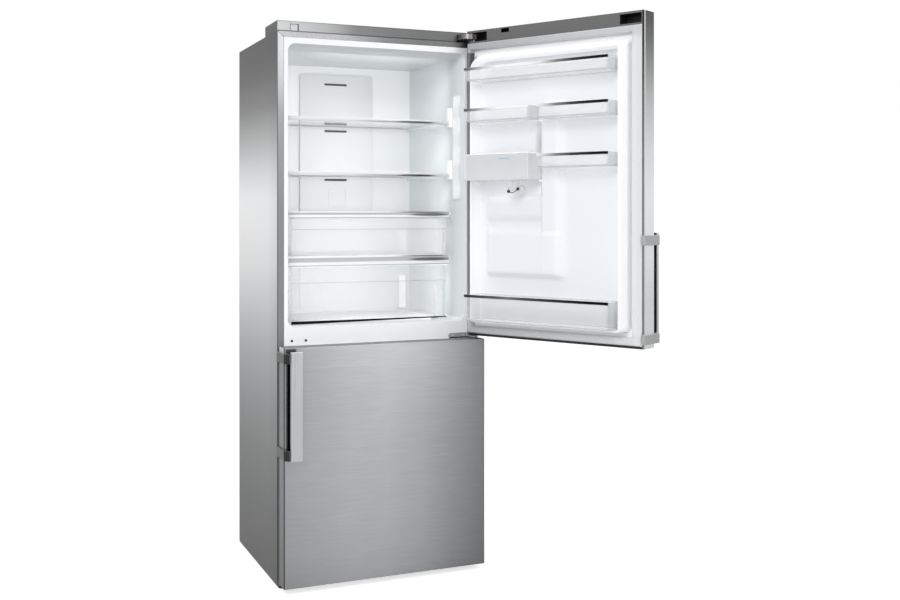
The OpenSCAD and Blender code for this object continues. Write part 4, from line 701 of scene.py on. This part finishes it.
bmesh.ops.delete(bm, geom=mouth, context="FACES_ONLY")
bmesh.ops.delete(bm, geom=[f for f in sunk if isinstance(f, bmesh.types.BMFace)], context="FACES_ONLY")
bm.normal_update()
bevelled(bm, [e for e in bm.edges if len(e.link_faces) == 2 and all(v.co.y > 0.03 for v in e.verts)
              and e.calc_face_angle(0.0) > 0.8], rimShape["soft"] * mm, 4)
settle(bm, rimShape, swing)

# thin sheet behind the rim, seen past its round corners
rimSheet = {"name": "rimSheet", "slot": "white_liner", "body": "fridge_door", "finishes": ["doorWhite"],
            "spans": [(-308.5, 308.5), (-23.4, -22.4), (850.5, 1769.5)]}
bm = boxStart(rimSheet["spans"])
bevelled(bm, edgesAlong(bm, 1), 3.0 * mm, 3)
settle(bm, rimSheet, swing)

# ledges the door shelves and the tank rest on
ledgeShape = {"name": "shelfLedges", "slot": "white_liner", "body": "fridge_door", "finishes": ["doorWhite"],
              "rows": [((-284, 284), 1663), ((18, 284), 1526), ((-284, -14), 1526), ((-284, -14), 1367),
                       ((-284, 284), 860), ((18, 284), 1330)], "half": 5.0, "height": 5.0}
whole = bmesh.new()
for ends, level in ledgeShape["rows"]:
    for end in ends:
        deep = 20.0 if abs(end) > 200 else 13.0
        part = boxStart([(end - ledgeShape["half"], end + ledgeShape["half"]), (-15.0, deep),
                         (level - ledgeShape["height"], level - 0.2)])
        bevelled(part, part.edges[:], 1.2 * mm, 2)
        spare = bpy.data.meshes.new("ledge")
        part.to_mesh(spare)
        part.free()
        whole.from_mesh(spare)
        bpy.data.meshes.remove(spare)
settle(whole, ledgeShape, swing)
# the fridge door's foam, painted near-black as the shade where it shows in the seam
doorFilling = {"name": "doorFilling", "node": "fridge_door_foam", "slot": "insulation", "onDoor": True,
               "shape": lambda bm: bmesh.ops.delete(bm, context="FACES", geom=[
                   f for f in bm.faces if f.calc_center_median().y > -0.0232]), "finishes": ["foamShade"]}
softened(doorFilling)

# the panel: a grid raised into soft swells, each with its crest, its slopes and its rise
panelShape = {"name": "doorPanel", "slot": "white_liner", "body": "fridge_door", "finishes": ["panelWhite"],
              "across": (-289.0, 289.0), "up": (856.0, 1735.0), "flat": -14.0, "step": 5.0, "sharp": 80}
swells = [
    {"rise": 20.0, "across": (-34, 16), "slopes": (40, 8), "up": (1022, 1578), "ends": (18, 14)},
    {"rise": 22.0, "across": (-34, 234), "slopes": (40, 26), "up": (1024, 1150), "ends": (20, 24)},
    {"rise": 15.0, "across": (10, 234), "slopes": (10, 26), "up": (1212, 1272), "ends": (20, 16)},
]


def ease(t):
    t = min(1.0, max(0.0, t))
    return t * t * (3.0 - 2.0 * t)


def hillAt(value, span, soft):
    return ease((value - span[0] + soft[0]) / soft[0]) * ease((span[1] + soft[1] - value) / soft[1])


def swellAt(u, z):
    parts = [s["rise"] * hillAt(u, s["across"], s["slopes"]) * hillAt(z, s["up"], s["ends"]) for s in swells]
    return sum(part ** 6 for part in parts) ** (1 / 6)  # the highest wins, with a soft blend


bm = bmesh.new()
half = [(panelShape[key][1] - panelShape[key][0]) / 2 for key in ("across", "up")]
middle = [sum(panelShape[key]) / 2 for key in ("across", "up")]
bmesh.ops.create_grid(bm, x_segments=int(2 * half[0] / panelShape["step"]),
                      y_segments=int(2 * half[1] / panelShape["step"]), size=1.0)
for vert in bm.verts:
    u, z = middle[0] + vert.co.x * half[0], middle[1] + vert.co.y * half[1]
    vert.co = Vector((u, panelShape["flat"] + swellAt(u, z), z)) * mm
bmesh.ops.reverse_faces(bm, faces=bm.faces[:])
settle(bm, panelShape, swing)
fridgeSeal = {"name": "fridgeSeal", "node": "fridge_door_gasket", "slot": "grey_gasket", "onDoor": True,
              "rounds": [(2.5, 3)], "finishes": ["gasketGrey"]}
softened(fridgeSeal)


# the fridge door caps: black low down, painted shade in the upper cap's notch, grey on their inner and top
# faces, and black elsewhere, which paints their pockets as shade
def capPaint(low, high):
    def paint(at, facing):
        if at.z < low + 12:
            return 1
        if 180 < at.x < 230 and at.z > 1835:
            return 2
        return 0 if facing.y > 0.7 and at.y > -23.5 or facing.z > 0.7 and at.z > high - 1.5 else 1
    return paint


fridgeCaps = {"name": "fridgeCaps", "node": "fridge_door_caps", "slot": "grey_plastic", "onDoor": True,
              "rounds": [(0.6, 2)], "finishes": ["capGrey", "capBlackAndShade", "capNotchShade"],
              "paint": capPaint(801, 1850)}
softened(fridgeCaps)


# the handles: bar, black bar back, brackets, and the brackets' arms by the bar, which take painted deep shade
# on the freezer
def gripPaint(at, facing):
    if at.y < -120.0 and at.x > -339.6:
        return 2 if facing.y > 0.7 else 0
    return 3 if at.y < -89.0 and facing.x > -0.9 else 1


for name, node, bracket, extra in (("fridgeGrip", "fridge_door_handle", "bracketLight", {"onDoor": True}),
                                   ("freezerGrip", "freezer_door_handle", "shadedBracket", {})):
    near = "bracketShade" if bracket == "shadedBracket" else bracket
    softened({"name": name, "node": node, "slot": "handle_metal", "rounds": [(1.5, 3)], **extra,
              "finishes": ["satinBar", bracket, "barBack", near], "paint": gripPaint})
print("door pieces made")

# door shelves: a clear tray with a bright rail along its upper front edge
doorShelves = [
    {"node": "top_bin", "x": (-284, 284), "y": (-12, 77), "z": (1663, 1707), "rail": "railChrome",
     "taper": 18},
    {"node": "left_bin", "x": (18, 284), "y": (8, 77), "z": (1526, 1570), "rail": "railChrome"},
    {"node": "upper_right_bin", "x": (-284, -14), "y": (8, 77), "z": (1526, 1570), "rail": "railChrome"},
    {"node": "lower_right_bin", "x": (-284, -14), "y": (8, 77), "z": (1367, 1411), "rail": "railChrome"},
    {"node": "bottle_bin", "x": (-284, 284), "y": (-12, 77), "z": (860, 948), "rail": "bottleChrome"},
]
trayLook = {"wall": 2.5, "corner": 9.0, "foot": 5.0, "draft": 0.985}
railLook = {"front": 79.0, "inset": 1.0, "rise": 1.0, "height": 8.0, "round": 0.7}


# the free end of each tray takes painted shade
def trayPaint(shelf):
    base = clearPaint(shelf["z"][0], shelf["z"][1])
    end = shelf["x"][0] + trayLook["corner"] * 0.9

    def paint(at, facing):
        key = base(at, facing)
        return 4 if key == 0 and at.x < end and facing.y > -0.5 else key
    return paint


def doorTray(shelf):
    bm = boxStart([shelf["x"], shelf["y"], shelf["z"]])
    for vert in bm.verts:
        if vert.co.x > 0 and vert.co.y < 0:
            vert.co.x -= shelf.get("taper", 0) * mm  # room for the rim's round corner when it is lifted
    bevelled(bm, edgesAlong(bm, 2), trayLook["corner"] * mm, 5)
    low = min(v.co.z for v in bm.verts)
    foot = [e for e in bm.edges if all(v.co.z < low + 1e-5 for v in e.verts)]
    bevelled(bm, foot, trayLook["foot"] * mm, 3)
    middle = sum(shelf["x"]) / 2 * mm
    under = [v for v in bm.verts if v.co.z < low + trayLook["foot"] * 1.5 * mm]
    bmesh.ops.scale(bm, vec=(trayLook["draft"], 1.0, 1.0), verts=under,
                    space=Matrix.Translation((-middle, 0.0, 0.0)))
    top = [f for f in bm.faces if f.normal.z > 0.9 and f.calc_center_median().z > shelf["z"][1] * mm - 1e-4]
    bmesh.ops.delete(bm, geom=top, context="FACES_ONLY")
    bmesh.ops.solidify(bm, geom=bm.faces[:], thickness=trayLook["wall"] * mm)
    bmesh.ops.recalc_face_normals(bm, faces=bm.faces[:])
    body = nodes[shelf["node"]]["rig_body"]
    name = shelf["node"].split("_bin")[0].title().replace("_", "")
    tray = {"name": "tray" + name, "slot": "clear_plastic", "body": body, "replaces": [shelf["node"]],
            "finishes": ["clearWall", "clearFloor", "clearEdge", "edgeShade", "clearEndShade"],
            "paint": trayPaint(shelf)}
    settle(bm, tray, swing)
    x = (shelf["x"][0] + railLook["inset"], shelf["x"][1] - railLook["inset"])
    z = (shelf["z"][1] - railLook["height"], shelf["z"][1] + railLook["rise"])
    bm = boxStart([x, (shelf["y"][1], railLook["front"]), z])
    bevelled(bm, bm.edges[:], railLook["round"] * mm, 2)
    rail = {"name": "rail" + name, "slot": "handle_metal", "body": body, "finishes": [shelf["rail"]]}
    settle(bm, rail, swing)


for shelf in doorShelves:
    doorTray(shelf)

# water tank with its fill mark, and the tap's two knobs with their link
tank = {"name": "tankBody", "node": "water_tank", "slot": "clear_plastic", "onDoor": True,
        "rounds": [(4.0, 3), (0.8, 2)], "finishes": ["tankPlastic", "tankSide", "clearEdge"],
        "paint": lambda at, facing: 2 if at.z > 1410 else 1 if facing.y < 0.7 else 0}
softened(tank)
fillMark = {"name": "tankFillMark", "slot": "clear_plastic", "body": "tank", "finishes": ["waterBlue"],
            "spans": [(92, 138), (79.0, 79.5), (1400.0, 1402.4)]}
bm = boxStart(fillMark["spans"])
bevelled(bm, edgesAlong(bm, 1), 1.0 * mm, 2)
settle(bm, fillMark, swing)
tapGrip = {"name": "tapGrip", "slot": "black_plastic", "body": "tank", "finishes": ["blackPlastic"],
           "x": (73.0, 111.0), "y": 58.0, "z": 1297.0, "knob": 5.2, "long": 7.0, "link": 1.3, "dip": 8.0,
           "tilt": 12.0}
bm = bmesh.new()
knob = tapGrip["knob"] * mm
for x in tapGrip["x"]:
    spot = Matrix.Translation(Vector((x, tapGrip["y"], tapGrip["z"])) * mm)
    bmesh.ops.create_cone(bm, cap_ends=True, segments=24, radius1=knob, radius2=knob,
                          depth=tapGrip["long"] * mm, matrix=spot @ Matrix.Rotation(math.pi / 2, 4, "Y"))
bevelled(bm, [e for e in bm.edges if e.calc_face_angle(0.0) > 1.2], 1.6 * mm, 3)
half = (tapGrip["x"][1] - tapGrip["x"][0]) / 2
sweep = (half * half + tapGrip["dip"] ** 2) / (2 * tapGrip["dip"])
turn = math.asin(half / sweep)
middle = Vector((sum(tapGrip["x"]) / 2, tapGrip["y"] + 3.0, tapGrip["z"] - tapGrip["dip"] + sweep)) * mm
ring = bmesh.ops.create_circle(bm, segments=12, radius=tapGrip["link"] * mm, matrix=Matrix.Translation(
    (tapGrip["x"][0] * mm, middle.y, tapGrip["z"] * mm)) @ Matrix.Rotation(math.pi / 2 + turn, 4, "Y"))["verts"]
bmesh.ops.spin(bm, geom=ring + list({e for v in ring for e in v.link_edges}), cent=middle, axis=(0, 1, 0),
               angle=-2 * turn, steps=16)
bmesh.ops.recalc_face_normals(bm, faces=bm.faces[:])
heart = Matrix.Translation((middle.x, middle.y, tapGrip["z"] * mm))
bm.transform(heart @ Matrix.Rotation(math.radians(tapGrip["tilt"]), 4, "Y") @ heart.inverted())
settle(bm, tapGrip, swing)
print("door shelves and tank made")


# everything that keeps its frame shape
def dress(node, key):
    nodes[node].material_slots[0].material = finishes[key]


plain = {
    "cabinet_foam": "foamYellow", "back_panel": "zincSheet", "base_pan": "zincSheet",
    "freezer_liner": "whiteLiner", "mullion_cover": "linerLip", "top_hinge": "hingeSteel",
    "bottom_hinge": "hingeSteel", "led_lamps": "lampDiffuser", "shelf_clips": "clipWhite",
    "shelf_upper_glass": "shelfGlass", "shelf_lower_glass": "shelfGlass",
    "crisper_cover_glass": "shelfGlass",
    "freezer_drawer_top": "frostDrawer", "freezer_drawer_middle": "frostDrawer",
    "freezer_drawer_bottom": "frostDrawer", "compressor": "blackEnamel", "evaporator": "finAluminium",
    "evaporator_cover": "whiteTrim", "fan_motor": "motorGrey", "fan_blades": "whiteTrim",
    "compressor_cover": "zincSheet", "front_foot_left": "blackPlastic", "front_foot_right": "blackPlastic",
    "rear_roller_left": "blackPlastic", "rear_roller_right": "blackPlastic", "power_inlet": "blackPlastic",
    "dispenser_housing": "darkGloss", "dispenser_paddle": "capGrey",
    "dispenser_tray": "blackPlastic", "tank_lid": "whiteTrim", "tank_tap": "tapClear",
    "freezer_door_caps": "capGrey", "freezer_door_liner": "whiteLiner", "freezer_door_foam": "foamShade",
    "freezer_door_gasket": "freezerGasket",
}
for node, key in plain.items():
    dress(node, key)
print("frame nodes dressed,", len(plain))


# floor, light and camera; the floor looks white to the camera and less so in reflections
floorLook = {"size": 40.0, "pale": 0.8, "lift": 0.70, "liftInGloss": 0.12}
bm = bmesh.new()
bmesh.ops.create_grid(bm, x_segments=1, y_segments=1, size=floorLook["size"])
floorMesh = bpy.data.meshes.new("studioFloor")
bm.to_mesh(floorMesh)
bm.free()
studioFloor = bpy.data.objects.new("studioFloor", floorMesh)
bpy.context.scene.collection.objects.link(studioFloor)

floorFinish = bpy.data.materials.new("floorFinish")
floorFinish.use_nodes = True
tree = floorFinish.node_tree
tree.nodes.clear()
output = tree.nodes.new("ShaderNodeOutputMaterial")
lit = tree.nodes.new("ShaderNodeBsdfDiffuse")
lit.inputs["Color"].default_value = (*[floorLook["pale"]] * 3, 1.0)
lift = tree.nodes.new("ShaderNodeEmission")
both = tree.nodes.new("ShaderNodeAddShader")
rays = tree.nodes.new("ShaderNodeLightPath")
seen = tree.nodes.new("ShaderNodeMath")
seen.operation = "MULTIPLY_ADD"
seen.inputs[1].default_value = floorLook["lift"]
gloss = tree.nodes.new("ShaderNodeMath")
gloss.operation = "MULTIPLY"
gloss.inputs[1].default_value = floorLook["liftInGloss"]
tree.links.new(rays.outputs["Is Glossy Ray"], gloss.inputs[0])
tree.links.new(rays.outputs["Is Camera Ray"], seen.inputs[0])
tree.links.new(gloss.outputs[0], seen.inputs[2])
tree.links.new(seen.outputs[0], lift.inputs["Strength"])
tree.links.new(lit.outputs[0], both.inputs[0])
tree.links.new(lift.outputs[0], both.inputs[1])
tree.links.new(both.outputs[0], output.inputs["Surface"])
floorMesh.materials.append(floorFinish)

# the sky is white where it is seen or mirrored, and dimmer as a light
skyLook = {"dim": 0.42, "white": 1.0}
world = bpy.data.worlds.new("studioWorld")
bpy.context.scene.world = world
world.use_nodes = True
tree = world.node_tree
tree.nodes.clear()
output = tree.nodes.new("ShaderNodeOutputWorld")
dimSky = tree.nodes.new("ShaderNodeBackground")
dimSky.inputs["Color"].default_value = (0.98, 0.99, 1.0, 1.0)
dimSky.inputs["Strength"].default_value = skyLook["dim"]
whiteSky = tree.nodes.new("ShaderNodeBackground")
whiteSky.inputs["Color"].default_value = (1.0, 1.0, 1.0, 1.0)
whiteSky.inputs["Strength"].default_value = skyLook["white"]
rays = tree.nodes.new("ShaderNodeLightPath")
direct = rays.outputs["Is Camera Ray"]
for kind in ("Is Glossy Ray", "Is Transmission Ray"):
    either = tree.nodes.new("ShaderNodeMath")
    either.operation = "MAXIMUM"
    tree.links.new(direct, either.inputs[0])
    tree.links.new(rays.outputs[kind], either.inputs[1])
    direct = either.outputs[0]
choose = tree.nodes.new("ShaderNodeMixShader")
tree.links.new(direct, choose.inputs[0])
tree.links.new(dimSky.outputs[0], choose.inputs[1])
tree.links.new(whiteSky.outputs[0], choose.inputs[2])
tree.links.new(choose.outputs[0], output.inputs["Surface"])


def softbox(name, place, target, size, watts, seen=True):
    light = bpy.data.lights.new(name, "AREA")
    light.shape = "RECTANGLE"
    light.size, light.size_y = size
    light.energy = watts
    lamp = bpy.data.objects.new(name, light)
    bpy.context.scene.collection.objects.link(lamp)
    lamp.location = place
    lamp.rotation_euler = (Vector(target) - Vector(place)).to_track_quat("-Z", "Y").to_euler()
    lamp.visible_camera = seen


softbox("keyBox", (-2.3, -3.9, 3.4), (0.2, 0.0, 1.2), (1.6, 1.6), 105)
softbox("fillBox", (2.4, -4.2, 2.4), (0.1, 0.1, 1.1), (1.8, 2.0), 34)
softbox("topBox", (0.0, -0.6, 4.2), (0.0, 0.0, 1.0), (3.0, 3.0), 55)
# a soft glow in each part of the fridge room, behind the shelves' front edges
roomGlow = {"x": 0.035, "front": 0.112, "back": 0.6, "width": 0.42, "rooms": [
    ("glowTop", 1.56, 1.75, 0.335), ("glowMiddle", 1.245, 1.53, 0.74), ("glowLow", 0.86, 1.20, 1.75)]}
for name, low, high, watts in roomGlow["rooms"]:
    middle = (low + high) / 2
    softbox(name, (roomGlow["x"], roomGlow["front"], middle), (roomGlow["x"], roomGlow["back"], middle),
            (roomGlow["width"], high - low), watts, False)

# the photo's camera, its focal length and middle in pixels
view = {"place": (-1.274981, -3.687123, 1.224641), "yaw": 23.968, "focal": 1152.006,
        "middle": (478.094, 212.283), "width": 900.0, "height": 600.0, "sensor": 36.0}
lens = bpy.data.cameras.new("photoCamera")
lens.sensor_width = view["sensor"]
lens.lens = view["focal"] * view["sensor"] / view["width"]
lens.shift_x = (view["width"] / 2 - view["middle"][0]) / view["width"]
lens.shift_y = (view["middle"][1] - view["height"] / 2) / view["width"]
lens.clip_end = 80.0
photoCamera = bpy.data.objects.new("photoCamera", lens)
photoCamera.location = view["place"]
photoCamera.rotation_euler = (math.radians(90.0), 0.0, math.radians(-view["yaw"]))
bpy.context.scene.collection.objects.link(photoCamera)
bpy.context.scene.camera = photoCamera
bpy.context.scene.view_settings.view_transform = "Standard"
print("stage set")
